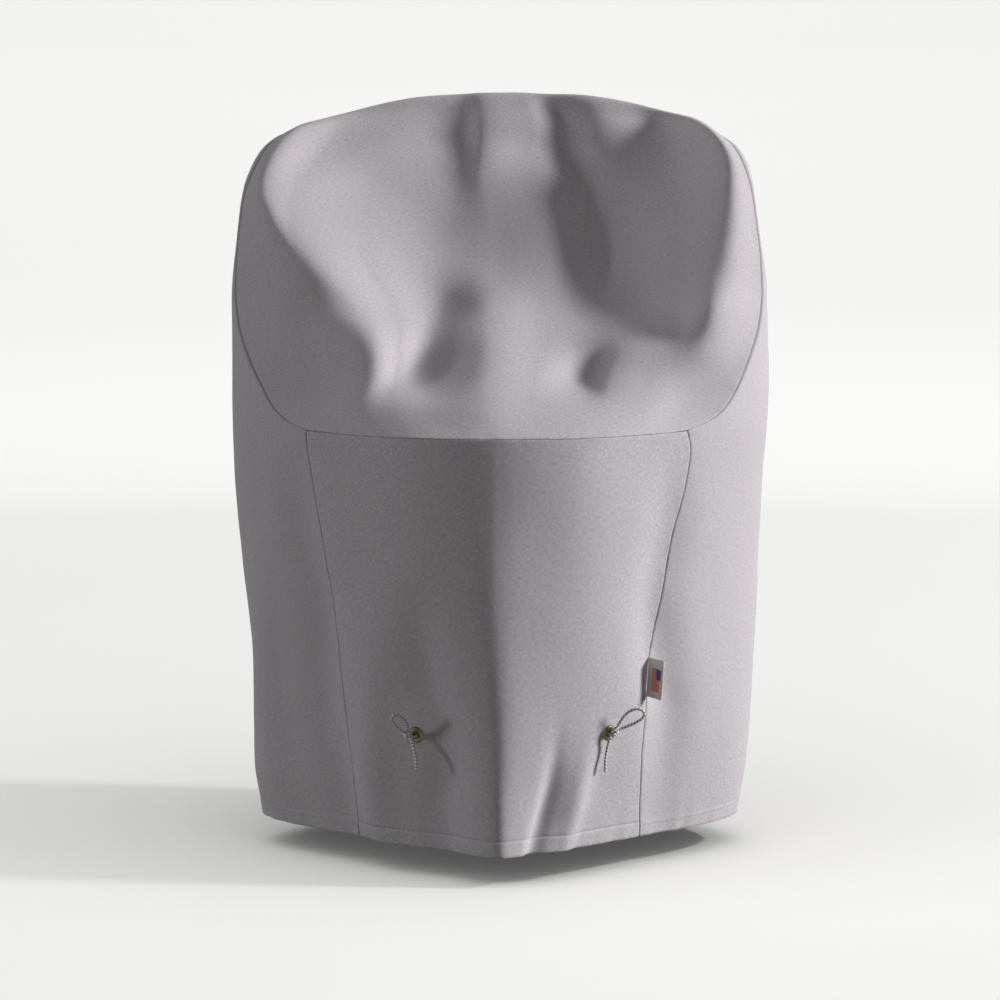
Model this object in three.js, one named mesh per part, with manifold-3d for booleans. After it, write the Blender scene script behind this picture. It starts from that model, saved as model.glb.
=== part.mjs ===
// Fitted cover for a dining chair: a hollow sewn shell of woven cloth, open at the hem.
// Millimetres, +X to the viewer's right, +Y to the back, +Z up. The shapes are drawn with z = 0 on the
// floor, and the whole is then moved so that the origin lies under the top edge of the back.
import * as THREE from 'three';
import { mergeVertices } from 'three/addons/utils/BufferGeometryUtils.js';
import Module from 'manifold-3d';

const CLOTH = 2.0;            // thickness of the cloth's solids
const SEAM_GAP = 0.3;         // panels stand this far apart along a seam
const HEM_Z = 33;             // height of the hem above the floor
const CORNER_Z = 487;         // height of the points where three seams meet
const PEAK_Z = 835;           // height at which the lap's side seams cross the shoulders
const ORIGIN = { x: 0, y: 203, z: 880 };

const WOVEN_CLOTH = { color: 0xb9b3b8, roughness: 0.95, metalness: 0 };
const AGED_BRASS = { color: 0xa08a52, roughness: 0.45, metalness: 1 };
const BRAIDED_CORD = { color: 0xdedad4, roughness: 0.9, metalness: 0 };
const RIBBON = { color: 0xd9d6d3, roughness: 0.85, metalness: 0 };

// Horizontal sections of the outer wall, from hem to shoulder: the half widths to the right and left,
// how far back the widest place lies, where the front corner and the back lie, and the angle in degrees
// at which the two front faces run back from the corner.
const WALL = columns(['z', 'right', 'left', 'sideY', 'prowY', 'face', 'backY'], [
  [HEM_Z, 280, 277, 0, -290, 40, 282],
  [100, 291, 286, 0, -291, 33, 284],
  [140, 294, 286, 0, -291, 28, 285],
  [200, 296, 286, 0, -291, 23, 286],
  [330, 300, 299, 3, -290, 18, 288],
  [430, 305, 308, 8, -288, 16, 288],
  [CORNER_Z, 310, 310, 12, -285, 16, 287],
  [560, 313, 312, 30, -280, 16, 284],
  [640, 313, 314, 55, -260, 16, 280],
  [705, 307, 310, 78, -230, 16, 275],
  [763, 301.5, 305, 110, -200, 16, 266],
  [789, 297.5, 297, 130, -180, 16, 259],
  [812, 287, 285, 152, -160, 16, 251],
  [826, 271, 270, 172, -140, 16, 243],
  [PEAK_Z, 258, 254, 190, -120, 16, 234],
]);

// Where the front corner stands across: a little left of the middle.
const PROW = columns(['z', 'x'], [[HEM_Z, -2], [160, -3], [330, -12]]);

// How a section bends, at the hem, at a third of its height and at the cross seam: the rounding of the
// front corner, the shares of the half width at which the straight of the front face and that of the
// back end, and the shares of the depth over which the section turns at its widest place.
const BENDS = columns(['z', 'rounding', 'faceEnd', 'backEnd', 'sideTurn', 'backTurn'], [
  [HEM_Z, 14, 0.49, 0.35, 0.16, 0.30],
  [250, 18, 0.55, 0.42, 0.22, 0.38],
  [CORNER_Z, 26, 0.58, 0.60, 0.25, 0.50],
]);

// Seams, as distances from the middle to the right and left at each height.
const FRONT_SEAM = columns(['z', 'right', 'left'], [
  [HEM_Z, 156.5, 160.5],
  [120, 158, 165.5],
  [208, 167, 177.5],
  [300, 182.5, 190],
  [367, 194, 199],
  [435, 208.5, 209],
  [465, 211.5, 213],
  [CORNER_Z, 207, 214],
]);
const LAP_SEAM = columns(['z', 'right', 'left'], [
  [CORNER_Z, 207, 214],
  [496, 232, 236],
  [509, 251, 252],
  [537, 270, 270],
  [562, 282, 284],
  [605, 298, 301],
  [642, 303.5, 307],
  [675, 303.5, 307],
  [737, 299, 303],
  [757, 297, 300],
  [780, 291, 292],
  [812, 277, 276],
  [PEAK_Z, 258, 254],
]);
const BACK_SEAM = columns(['z', 'right', 'left'], [
  [HEM_Z, 178, 178],
  [300, 190, 190],
  [600, 205, 205],
  [750, 226, 226],
  [800, 240, 240],
  [PEAK_Z, 258, 254],
]);
const CROSS_SEAM = { midZ: 482.5, endZ: 486.5, reach: 210 };

// Upright folds of the wall: the side they are on, their half width and, up the fold, its angle round
// from the front corner and how far it stands out.
const WALL_FOLDS = [
  [1, 60, [[120, 20, 0], [260, 21, 5], [340, 21, 7], [430, 21, 8]]],
  [1, 33, [[HEM_Z, 53, -3], [96, 51, -5], [170, 50, -9], [215, 46, -11], [260, 44, -11],
    [304, 43, -10], [347, 45, -9], [391, 47, -7], [435, 48, -4], [480, 49, 0]]],
  [1, 10, [[HEM_Z, 8, -8], [80, 11, -8], [110, 12.5, -6], [150, 13.5, -2], [190, 14, 0]]],
  [1, 16, [[HEM_Z, 16, 6], [80, 19, 8], [110, 20.5, 6], [150, 22, 2], [190, 22, 0]]],
  [1, 30, [[HEM_Z, 88, -4], [150, 89, -3], [300, 90, 0]]],
  [1, 40, [[HEM_Z, 140, -6], [220, 143, -6], [420, 146, 0]]],
  [-1, 60, [[200, 20, 0], [300, 21, 5], [340, 22, 6], [430, 22, 6]]],
  [-1, 26, [[HEM_Z, 14, -8], [80, 15, -9], [125, 13, -9], [171, 14, -8], [216, 17, -8],
    [260, 18, -7], [330, 20, 0]]],
  [-1, 32, [[HEM_Z, 37, 6], [80, 37, 10], [125, 36, 11], [171, 35, 9], [216, 34, 7],
    [270, 33, 3], [330, 32, 0]]],
  [-1, 32, [[HEM_Z, 48, -6], [80, 49, -8], [125, 51, -8], [171, 53, -9], [216, 53, -10],
    [260, 52, -11], [304, 52, -11], [347, 55, -10], [391, 57, -8], [435, 58, -4], [480, 60, 0]]],
  [-1, 34, [[HEM_Z, 77, 3], [96, 78, 9], [200, 78, 12], [270, 77, 8], [340, 75, 3], [390, 74, 0]]],
  [-1, 42, [[HEM_Z, 128, -6], [200, 132, -6], [380, 136, 0]]],
].map(([side, halfWidth, rows]) => ({ side, halfWidth, line: columns(['z', 'angle', 'out'], rows) }));

// The cross seam's points, then one row for each section of the lap above it. A section has its height
// in the middle and at its ends, then x and y of the left rim, the left crest, the left dish, the left
// trough, the middle ridge and its right shoulder, the right trough, the crest of the right slope, its
// hollow and the right rim.
const CROSS_SEAM_X = [-214, -170, -135, -110, -75, -14, 35, 80, 115, 150, 185, 207];
const LAST = CROSS_SEAM_X.length - 1;
const LAP_SECTIONS = [
  [512, 509, -200, -142, -156, -180, -120, -194, -80, -206, -14, -226,
    35, -212, 88, -192, 122, -180, 165, -158, 203, -130],
  [545, 541, -205, -112, -142, -154, -114, -136, -86, -122, -16, -160,
    40, -138, 96, -100, 122, -122, 170, -116, 218, -98],
  [584, 578, -225, -80, -144, -126, -112, -100, -78, -72, -14, -104,
    50, -80, 105, -64, 145, -74, 190, -78, 230, -82],
  [625, 620, -230, -58, -172, -72, -122, -38, -70, -8, -12, -30,
    50, -12, 112, 10, 155, 4, 200, -28, 240, -66],
  [670, 665, -245, -32, -210, -44, -150, -8, -75, 30, -10, 34,
    50, 42, 108, 78, 150, 54, 205, 16, 256, -18],
  [720, 715, -262, 2, -238, 6, -160, 50, -70, 84, -8, 82,
    46, 88, 98, 122, 146, 104, 210, 60, 266, 18],
  [770, 760, -278, 48, -236, 70, -154, 112, -54, 133, -20, 125,
    40, 136, 88, 162, 136, 144, 210, 110, 270, 50],
  [815, 797, -268, 86, -212, 124, -132, 148, -46, 169, -20, 159,
    36, 172, 78, 184, 124, 166, 204, 152, 268, 76],
  [855, 823, -242, 130, -184, 164, -122, 178, -46, 189, -20, 180,
    36, 189, 68, 199, 118, 186, 196, 186, 248, 114],
];
const RIM_SPREAD = 290;       // distance from the middle over which a section falls to its ends

// The top edge of the back, from the left shoulder to the right one, and how it rolls over.
const TOP_EDGE = [
  { x: -254, y: 190, z: PEAK_Z },
  { x: -228, y: 193, z: 842.5 },
  { x: -168, y: 200, z: 862 },
  { x: -110, y: 202, z: 875.5 },
  { x: -46, y: 206, z: 881 },
  { x: -20, y: 203, z: 882.5 },
  { x: 20, y: 205, z: 882.5 },
  { x: 52, y: 207, z: 881 },
  { x: 112, y: 202, z: 878.5 },
  { x: 186, y: 201, z: 864 },
  { x: 232, y: 193, z: 849.5 },
  { x: 258, y: 190, z: PEAK_Z },
];
const ROLL = { back: 22, drop: 9, narrower: 0.99, endZ: 824 };
// Heights of the strip's rows down the back, in the middle and at the seams.
const BACK_ROWS = [[835, 815], [780, 770], [700, 695], [560, 560], [400, 400], [200, 200], [HEM_Z, HEM_Z]];

const STEPS_ACROSS = 2;       // mesh steps between two neighbouring points of a section
const STEPS_ALONG = 2;        // mesh steps between two neighbouring sections

// Fixed sizes of the eyelets, the tie cords and the label.
const EYELET = { outer: 9, washer: 8, hole: 3.6, barrel: 4.6, crown: 5, flange: 1.0, clearance: 0.3 };
const EYELET_PLACES = { right: { x: 118, z: 159.4 }, left: { x: 91.6, z: 160.5 } };
const CORD = { diameter: 3.2, sides: 8, step: 7, behind: 4, mouth: 4, clearance: 0.3 };
const KNOT = { radius: 4.7, gap: 0.3, lobes: 3, lobeDepth: 0.07 };
const LABEL = { height: 43, reach: 20, layer: 1.0, between: 0.6, midZ: 216, droop: 3, clearance: 0.8 };

// A table as an object with one array for each named column.
function columns(names, rows) {
  const table = {};
  names.forEach((name, k) => {
    table[name] = rows.map((row) => row[k]);
  });
  return table;
}

// Slopes that let a smooth curve follow a column without overshoot.
function columnSlopes(xs, ys) {
  const step = xs.slice(1).map((x, i) => x - xs[i]);
  const rise = step.map((h, i) => (ys[i + 1] - ys[i]) / h);
  const slopes = ys.map((y, i) => {
    if (i === 0) return rise[0];
    if (i === ys.length - 1) return rise[i - 1];
    if (rise[i - 1] * rise[i] <= 0) return 0;
    const before = 2 * step[i] + step[i - 1];
    const after = step[i] + 2 * step[i - 1];
    return (before + after) / (before / rise[i - 1] + after / rise[i]);
  });
  return slopes;
}

const slopeStore = new Map();
function readColumn(table, name, z) {
  const xs = table.z;
  const ys = table[name];
  const last = xs.length - 1;
  if (z <= xs[0]) return ys[0];
  if (z >= xs[last]) return ys[last];
  if (!slopeStore.has(ys)) slopeStore.set(ys, columnSlopes(xs, ys));
  const slopes = slopeStore.get(ys);
  let i = 0;
  while (z > xs[i + 1]) i += 1;
  const h = xs[i + 1] - xs[i];
  const t = (z - xs[i]) / h;
  const s = 1 - t;
  return (1 + 2 * t) * s * s * ys[i] + t * s * s * h * slopes[i]
    + t * t * (3 - 2 * t) * ys[i + 1] - t * t * s * h * slopes[i + 1];
}

function sideName(side) {
  return side > 0 ? 'right' : 'left';
}

// One quarter of a wall section on each side: from the front corner to the widest place, and from
// there to the middle of the back. x counts outwards from the middle.
const sectionStore = new Map();
function wallSection(side, z) {
  const key = `${side} ${z}`;
  if (sectionStore.has(key)) return sectionStore.get(key);
  const width = readColumn(WALL, sideName(side), z);
  const sideY = readColumn(WALL, 'sideY', z);
  const prowY = readColumn(WALL, 'prowY', z);
  const backY = readColumn(WALL, 'backY', z);
  const run = Math.tan(THREE.MathUtils.degToRad(readColumn(WALL, 'face', z)));
  const prowX = readColumn(PROW, 'x', z) * side;
  const faceEnd = width * readColumn(BENDS, 'faceEnd', z);
  const backEnd = width * readColumn(BENDS, 'backEnd', z);
  const sideRun = readColumn(BENDS, 'sideTurn', z) * (sideY - prowY);
  const backRun = readColumn(BENDS, 'backTurn', z) * (backY - sideY);
  const v = (x, y) => new THREE.Vector2(x, y);
  const faceEndY = prowY + (faceEnd - prowX) * run;
  const section = {
    run,
    prowX,
    rounding: readColumn(BENDS, 'rounding', z),
    front: new THREE.CubicBezierCurve(
      v(prowX, prowY), v(faceEnd, faceEndY), v(width, sideY - sideRun), v(width, sideY)),
    back: new THREE.CubicBezierCurve(
      v(width, sideY), v(width, sideY + backRun), v(backEnd, backY), v(0, backY)),
  };
  sectionStore.set(key, section);
  return section;
}

function foldHeight(side, x, y, z) {
  const angle = THREE.MathUtils.radToDeg(Math.atan2(Math.abs(x), -y));
  const radius = Math.hypot(x, y);
  let height = 0;
  for (const fold of WALL_FOLDS) {
    if (fold.side !== side) continue;
    const turn = angle - readColumn(fold.line, 'angle', z);
    const off = THREE.MathUtils.degToRad(turn) * radius / fold.halfWidth;
    height += readColumn(fold.line, 'out', z) * Math.exp(-off * off);
  }
  return height;
}

// A point of the outer wall. place is 0 at the front corner, 1 at the widest and 2 at the middle back.
function wallPoint(side, place, z) {
  const section = wallSection(side, z);
  const inFront = place <= 1;
  const quarter = inFront ? section.front : section.back;
  const t = inFront ? place : place - 1;
  const p = quarter.getPoint(t);
  const along = quarter.getTangent(Math.min(Math.max(t, 0.0001), 0.999));
  if (inFront) {
    const fromProw = Math.abs(p.x - section.prowX);
    p.y += section.run * (Math.hypot(fromProw, section.rounding) - fromProw);
  }
  const out = foldHeight(side, p.x, p.y, z);
  return new THREE.Vector3(side * (p.x + out * along.y), p.y - out * along.x, z);
}

// Where a quarter of a section crosses x, found by halving.
const HALVINGS = 24;
function placeAt(quarter, x, rising) {
  let low = 0;
  let high = 1;
  for (let i = 0; i < HALVINGS; i += 1) {
    const mid = (low + high) / 2;
    const isBefore = rising ? quarter.getPoint(mid).x < x : quarter.getPoint(mid).x > x;
    if (isBefore) low = mid;
    else high = mid;
  }
  return (low + high) / 2;
}

function frontPlace(side, x, z) {
  return placeAt(wallSection(side, z).front, x, true);
}

function backPlace(side, x, z) {
  return 1 + placeAt(wallSection(side, z).back, x, false);
}

function crossSeamZ(x) {
  const { midZ, endZ, reach } = CROSS_SEAM;
  return midZ + (endZ - midZ) * Math.min(1, Math.abs(x) / reach) ** 3;
}

function seamPlace(table, side, z, onBack) {
  const x = readColumn(table, sideName(side), z);
  return onBack ? backPlace(side, x, z) : frontPlace(side, x, z);
}

// Smooth curve through points, by their distances.
function throughPoints(points, t) {
  const last = points.length - 1;
  const i = Math.min(Math.floor(t), last - 1);
  const u = t - i;
  const p1 = points[i];
  const p2 = points[i + 1];
  const p0 = i > 0 ? points[i - 1] : p1.clone().multiplyScalar(2).sub(p2);
  const p3 = i + 2 <= last ? points[i + 2] : p2.clone().multiplyScalar(2).sub(p1);
  const d1 = Math.sqrt(Math.max(p0.distanceTo(p1), 1e-6));
  const d2 = Math.sqrt(Math.max(p1.distanceTo(p2), 1e-6));
  const d3 = Math.sqrt(Math.max(p2.distanceTo(p3), 1e-6));
  const coordinate = (k) => {
    const [a, b, c, d] = [p0, p1, p2, p3].map((p) => p.getComponent(k));
    const m1 = d2 * ((b - a) / d1 - (c - a) / (d1 + d2) + (c - b) / d2);
    const m2 = d2 * ((c - b) / d2 - (d - b) / (d2 + d3) + (d - c) / d3);
    return (2 * u ** 3 - 3 * u ** 2 + 1) * b + (u ** 3 - 2 * u ** 2 + u) * m1
      + (3 * u ** 2 - 2 * u ** 3) * c + (u ** 3 - u ** 2) * m2;
  };
  return new THREE.Vector3(coordinate(0), coordinate(1), coordinate(2));
}

// Sections of the strip that runs from the cross seam over the lap and the top edge to the back hem.
function stripSections() {
  const cross = CROSS_SEAM_X.map((x) => {
    const side = x > readColumn(PROW, 'x', CORNER_Z) ? 1 : -1;
    const z = x === CROSS_SEAM_X[0] || x === CROSS_SEAM_X[LAST] ? CORNER_Z : crossSeamZ(x);
    return wallPoint(side, frontPlace(side, side * x, z), z);
  });
  const sections = [{ endZ: CORNER_Z, points: cross, onBack: false }];
  for (const [midZ, endZ, ...places] of LAP_SECTIONS) {
    const points = [];
    for (let k = 0; k < places.length; k += 2) {
      const high = 1 - Math.min(1, Math.abs(places[k]) / RIM_SPREAD) ** 3;
      points.push(new THREE.Vector3(places[k], places[k + 1], endZ + (midZ - endZ) * high));
    }
    sections.push({ endZ, points: [null, ...points, null], onBack: false });
  }
  const top = TOP_EDGE.map((p) => new THREE.Vector3(p.x, p.y, p.z));
  sections.push({ endZ: PEAK_Z, points: top, onBack: true });
  const rolled = top.map((p) => new THREE.Vector3(p.x * ROLL.narrower, p.y + ROLL.back, p.z - ROLL.drop));
  sections.push({ endZ: ROLL.endZ, points: rolled, onBack: true });
  for (const [midZ, endZ] of BACK_ROWS) {
    const points = CROSS_SEAM_X.map((_, k) => {
      const f = 2 * k / LAST - 1;
      const side = f > 0 ? 1 : -1;
      const z = midZ + (endZ - midZ) * Math.abs(f) ** 3;
      const x = Math.abs(f) * readColumn(BACK_SEAM, sideName(side), endZ);
      const p = wallPoint(side, backPlace(side, x, Math.min(z, PEAK_Z)), Math.min(z, PEAK_Z));
      return p.setZ(z);
    });
    sections.push({ endZ, points, onBack: true });
  }
  return sections;
}

function stripGrid() {
  const sections = stripSections();
  const topIndex = 1 + LAP_SECTIONS.length;
  const ends = sections.map((s) => new THREE.Vector3(0, 0, s.endZ));
  const grid = [];
  const edgeZ = [];
  for (let j = 0; j <= (sections.length - 1) * STEPS_ALONG; j += 1) {
    const t = j / STEPS_ALONG;
    const z = j === topIndex * STEPS_ALONG ? PEAK_Z : throughPoints(ends, t).z;
    const onBack = t >= topIndex;
    const table = onBack ? BACK_SEAM : LAP_SEAM;
    const points = CROSS_SEAM_X.map((_, k) => {
      if (k > 0 && k < LAST) return throughPoints(sections.map((s) => s.points[k]), t);
      const side = k ? 1 : -1;
      if (j === topIndex * STEPS_ALONG) return sections[topIndex].points[k];
      return wallPoint(side, seamPlace(table, side, z, onBack), z);
    });
    const row = [];
    for (let i = 0; i <= LAST * STEPS_ACROSS; i += 1) {
      row.push(throughPoints(points, i / STEPS_ACROSS));
    }
    grid.push(row);
    edgeZ.push(z);
  }
  return { grid, edgeZ, topRow: topIndex * STEPS_ALONG };
}

// The front panel hangs between the two front seams, below the strip's first row.
function frontGrid(strip, rows) {
  const topProw = readColumn(PROW, 'x', CORNER_Z);
  const top = strip.grid[0];
  const grid = [];
  for (let j = 0; j <= rows; j += 1) {
    const q = j / rows;
    grid.push(top.map((p, i) => {
      if (j === rows) return p;
      const side = p.x > topProw ? 1 : -1;
      const z = HEM_Z + (p.z - HEM_Z) * q;
      const seam = readColumn(FRONT_SEAM, sideName(side), z);
      const corner = readColumn(FRONT_SEAM, sideName(side), CORNER_Z);
      const share = side * (p.x - topProw) / (corner - side * topProw);
      const prow = side * readColumn(PROW, 'x', z);
      const x = prow + share * (seam - prow);
      const isEdge = i === 0 || i === top.length - 1;
      const place = isEdge ? seamPlace(FRONT_SEAM, side, z, false) : frontPlace(side, x, z);
      return wallPoint(side, place, z);
    }));
  }
  return grid;
}

// A side panel fills the wall between the front seam, the lap seam and the back seam. Its places and
// heights are blended from its four edges.
function sideGrid(side, strip, rows) {
  const count = strip.topRow;
  const backRows = strip.grid.length - 1 - strip.topRow;
  const edgeColumn = side > 0 ? strip.grid[0].length - 1 : 0;
  const hemFront = seamPlace(FRONT_SEAM, side, HEM_Z, false);
  const hemBack = seamPlace(BACK_SEAM, side, HEM_Z, true);
  const bottom = (p) => [hemFront + (hemBack - hemFront) * p, HEM_Z];
  const top = (i) => {
    const z = strip.edgeZ[i];
    return [i === count ? 1 : seamPlace(LAP_SEAM, side, z, false), z];
  };
  const left = (q) => {
    const z = HEM_Z + (CORNER_Z - HEM_Z) * q;
    return [seamPlace(FRONT_SEAM, side, z, false), z];
  };
  const right = (j) => {
    const z = strip.edgeZ[strip.grid.length - 1 - j];
    return [j === backRows ? 1 : seamPlace(BACK_SEAM, side, z, true), z];
  };
  const grid = [];
  for (let j = 0; j <= rows; j += 1) {
    const q = j / rows;
    const row = [];
    for (let i = 0; i <= count; i += 1) {
      const p = i / count;
      const blend = (k) => (1 - q) * bottom(p)[k] + q * top(i)[k] + (1 - p) * left(q)[k] + p * right(j)[k]
        - (1 - p) * (1 - q) * bottom(0)[k] - p * (1 - q) * bottom(1)[k]
        - (1 - p) * q * top(0)[k] - p * q * top(count)[k];
      if (j === rows) row.push(strip.grid[i][edgeColumn]);
      else if (i === count) row.push(strip.grid[strip.grid.length - 1 - j][edgeColumn]);
      else row.push(wallPoint(side, blend(0), blend(1)));
    }
    grid.push(row);
  }
  return grid;
}

// Turns grids of outer points into closed sheets. Where panels share a seam they share its mean
// normal, so that their edges are mitred, and each stands back from the seam by half the gap.
function gridNormals(grid) {
  const rows = grid.length;
  const count = grid[0].length;
  const normals = grid.map((row) => row.map(() => new THREE.Vector3()));
  for (let j = 0; j + 1 < rows; j += 1) {
    for (let i = 0; i + 1 < count; i += 1) {
      const along = grid[j + 1][i + 1].clone().sub(grid[j][i]);
      const across = grid[j + 1][i].clone().sub(grid[j][i + 1]);
      const normal = along.cross(across).normalize();
      for (const [b, a] of [[j, i], [j, i + 1], [j + 1, i], [j + 1, i + 1]]) normals[b][a].add(normal);
    }
  }
  normals.forEach((row) => row.forEach((n) => n.normalize()));
  return normals;
}

function pointKey(p) {
  return [p.x, p.y, p.z].map((c) => c.toFixed(3)).join(' ');
}

function sheetGeometries(panels) {
  const shared = new Map();
  for (const panel of panels) {
    panel.normals = gridNormals(panel.grid);
    panel.grid.forEach((row, j) => row.forEach((p, i) => {
      const key = pointKey(p);
      if (!shared.has(key)) shared.set(key, []);
      shared.get(key).push(panel.normals[j][i]);
    }));
  }
  return panels.map((panel) => sheetGeometry(panel, shared));
}

const SHARPEST_MITRE = 0.7;
function sheetGeometry({ grid, normals }, shared) {
  const rows = grid.length;
  const count = grid[0].length;
  const outer = grid.map((row) => row.map((p) => p.clone()));
  const inner = grid.map((row, j) => row.map((p, i) => {
    const own = normals[j][i];
    const mean = new THREE.Vector3();
    for (const n of shared.get(pointKey(p))) mean.add(n);
    mean.normalize();
    return p.clone().addScaledVector(mean, -CLOTH / Math.max(SHARPEST_MITRE, mean.dot(own)));
  }));
  const shift = (j, i, dj, di) => {
    if (shared.get(pointKey(grid[j][i])).length < 2) return;
    const inward = grid[j + dj][i + di].clone().sub(grid[j][i]).normalize().multiplyScalar(SEAM_GAP / 2);
    outer[j][i].add(inward);
    inner[j][i].add(inward);
  };
  for (let i = 0; i < count; i += 1) {
    shift(0, i, 1, 0);
    shift(rows - 1, i, -1, 0);
  }
  for (let j = 0; j < rows; j += 1) {
    shift(j, 0, 0, 1);
    shift(j, count - 1, 0, -1);
  }
  const positions = [...outer.flat(), ...inner.flat()].flatMap((p) => [p.x, p.y, p.z]);
  const at = (j, i) => j * count + i;
  const under = rows * count;
  const index = [];
  const quad = (a, b, c, d) => index.push(a, b, c, a, c, d);
  for (let j = 0; j + 1 < rows; j += 1) {
    for (let i = 0; i + 1 < count; i += 1) {
      const [a, b, c, d] = [at(j, i), at(j, i + 1), at(j + 1, i + 1), at(j + 1, i)];
      quad(a, b, c, d);
      quad(under + d, under + c, under + b, under + a);
    }
  }
  const rim = [];
  for (let i = 0; i < count; i += 1) rim.push(at(0, i));
  for (let j = 1; j < rows; j += 1) rim.push(at(j, count - 1));
  for (let i = count - 2; i >= 0; i -= 1) rim.push(at(rows - 1, i));
  for (let j = rows - 2; j > 0; j -= 1) rim.push(at(j, 0));
  rim.forEach((a, k) => {
    const b = rim[(k + 1) % rim.length];
    quad(a, under + a, under + b, b);
  });
  const geometry = new THREE.BufferGeometry();
  geometry.setAttribute('position', new THREE.Float32BufferAttribute(positions, 3));
  geometry.setIndex(index);
  return geometry;
}

// Pieces made with closed primitives, turned right side out if need be.
function outwardFacing(geometry) {
  const solid = geometry.clone();
  solid.deleteAttribute('normal');
  solid.deleteAttribute('uv');
  const merged = mergeVertices(solid, 1e-4);
  const p = merged.attributes.position;
  const index = merged.index.array;
  const corner = (k) => new THREE.Vector3().fromBufferAttribute(p, index[k]);
  let volume = 0;
  for (let k = 0; k < index.length; k += 3) {
    volume += corner(k).dot(corner(k + 1).cross(corner(k + 2))) / 6;
  }
  if (volume < 0) {
    for (let k = 0; k < index.length; k += 3) {
      [index[k], index[k + 1]] = [index[k + 1], index[k]];
    }
  }
  return merged;
}

// A place on the wall with its own directions: along the wall away from the front corner, up, and out.
const FRAME_REACH = { place: 0.02, up: 6 };
function wallFrame(side, x, z) {
  const place = frontPlace(side, x, z);
  const centre = wallPoint(side, place, z);
  const step = FRAME_REACH.place;
  const along = wallPoint(side, place + step, z).sub(wallPoint(side, place - step, z)).normalize();
  const above = wallPoint(side, place, z + FRAME_REACH.up);
  const up = above.sub(wallPoint(side, place, z - FRAME_REACH.up)).normalize();
  const out = new THREE.Vector3().crossVectors(along, up).multiplyScalar(side).normalize();
  return { centre, along, up, out };
}

function inFrame(frame, { along, up, out }) {
  return frame.centre.clone()
    .addScaledVector(frame.along, along)
    .addScaledVector(frame.up, up)
    .addScaledVector(frame.out, out);
}

// How far the cloth's outer face rises and falls under an eyelet's flange.
const FEELERS = { rings: 3, round: 16, from: 20 };
function seatOf(panel, frame) {
  const cloth = new THREE.Mesh(panel, new THREE.MeshStandardMaterial());
  const heights = [];
  for (let ring = 0; ring <= FEELERS.rings; ring += 1) {
    const radius = EYELET.outer * ring / FEELERS.rings;
    for (let k = 0; k < FEELERS.round; k += 1) {
      const angle = 2 * Math.PI * k / FEELERS.round;
      const place = { along: radius * Math.cos(angle), up: radius * Math.sin(angle), out: FEELERS.from };
      const ray = new THREE.Raycaster(inFrame(frame, place), frame.out.clone().negate());
      heights.push(FEELERS.from - ray.intersectObject(cloth)[0].distance);
    }
  }
  return { high: Math.max(...heights), low: Math.min(...heights) };
}

// A two-part brass eyelet: its front flange and barrel, and the washer behind the cloth.
function eyeletGeometry(frame, seat) {
  const { outer, washer, hole, barrel, crown, flange, clearance } = EYELET;
  const front = seat.high + clearance;
  const behind = seat.low - CLOTH - clearance;
  const section = [
    [hole, behind - flange],
    [washer, behind - flange],
    [washer, behind],
    [barrel, behind],
    [barrel, front],
    [outer, front],
    [outer, front + flange / 2],
    [outer - flange, front + flange],
    [crown, front + 1.3 * flange],
    [hole + flange / 2, front + flange],
    [hole, front + flange / 2],
    [hole, behind - flange],
  ].map(([r, y]) => new THREE.Vector2(r, y));
  const geometry = new THREE.LatheGeometry(section, 24);
  geometry.applyQuaternion(new THREE.Quaternion().setFromUnitVectors(new THREE.Vector3(0, 1, 0), frame.out));
  geometry.translate(frame.centre.x, frame.centre.y, frame.centre.z);
  return outwardFacing(geometry);
}

// Cuts the eyelets' holes through the front panel.
async function pierced(geometry, frames) {
  const wasm = await Module();
  wasm.setup();
  const solidOf = (source) => {
    const merged = outwardFacing(source);
    return new wasm.Manifold(new wasm.Mesh({
      numProp: 3,
      vertProperties: new Float32Array(merged.attributes.position.array),
      triVerts: new Uint32Array(merged.index.array),
    }));
  };
  let solid = solidOf(geometry);
  const hole = EYELET.barrel + EYELET.clearance;
  for (const frame of frames) {
    const punch = new THREE.CylinderGeometry(hole, hole, 4 * CLOTH, 24);
    punch.applyQuaternion(new THREE.Quaternion().setFromUnitVectors(new THREE.Vector3(0, 1, 0), frame.out));
    punch.translate(frame.centre.x, frame.centre.y, frame.centre.z);
    solid = solid.subtract(solidOf(punch));
  }
  const mesh = solid.getMesh();
  const cut = new THREE.BufferGeometry();
  cut.setAttribute('position', new THREE.Float32BufferAttribute(mesh.vertProperties, 3));
  cut.setIndex(Array.from(mesh.triVerts));
  return cut;
}

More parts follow.
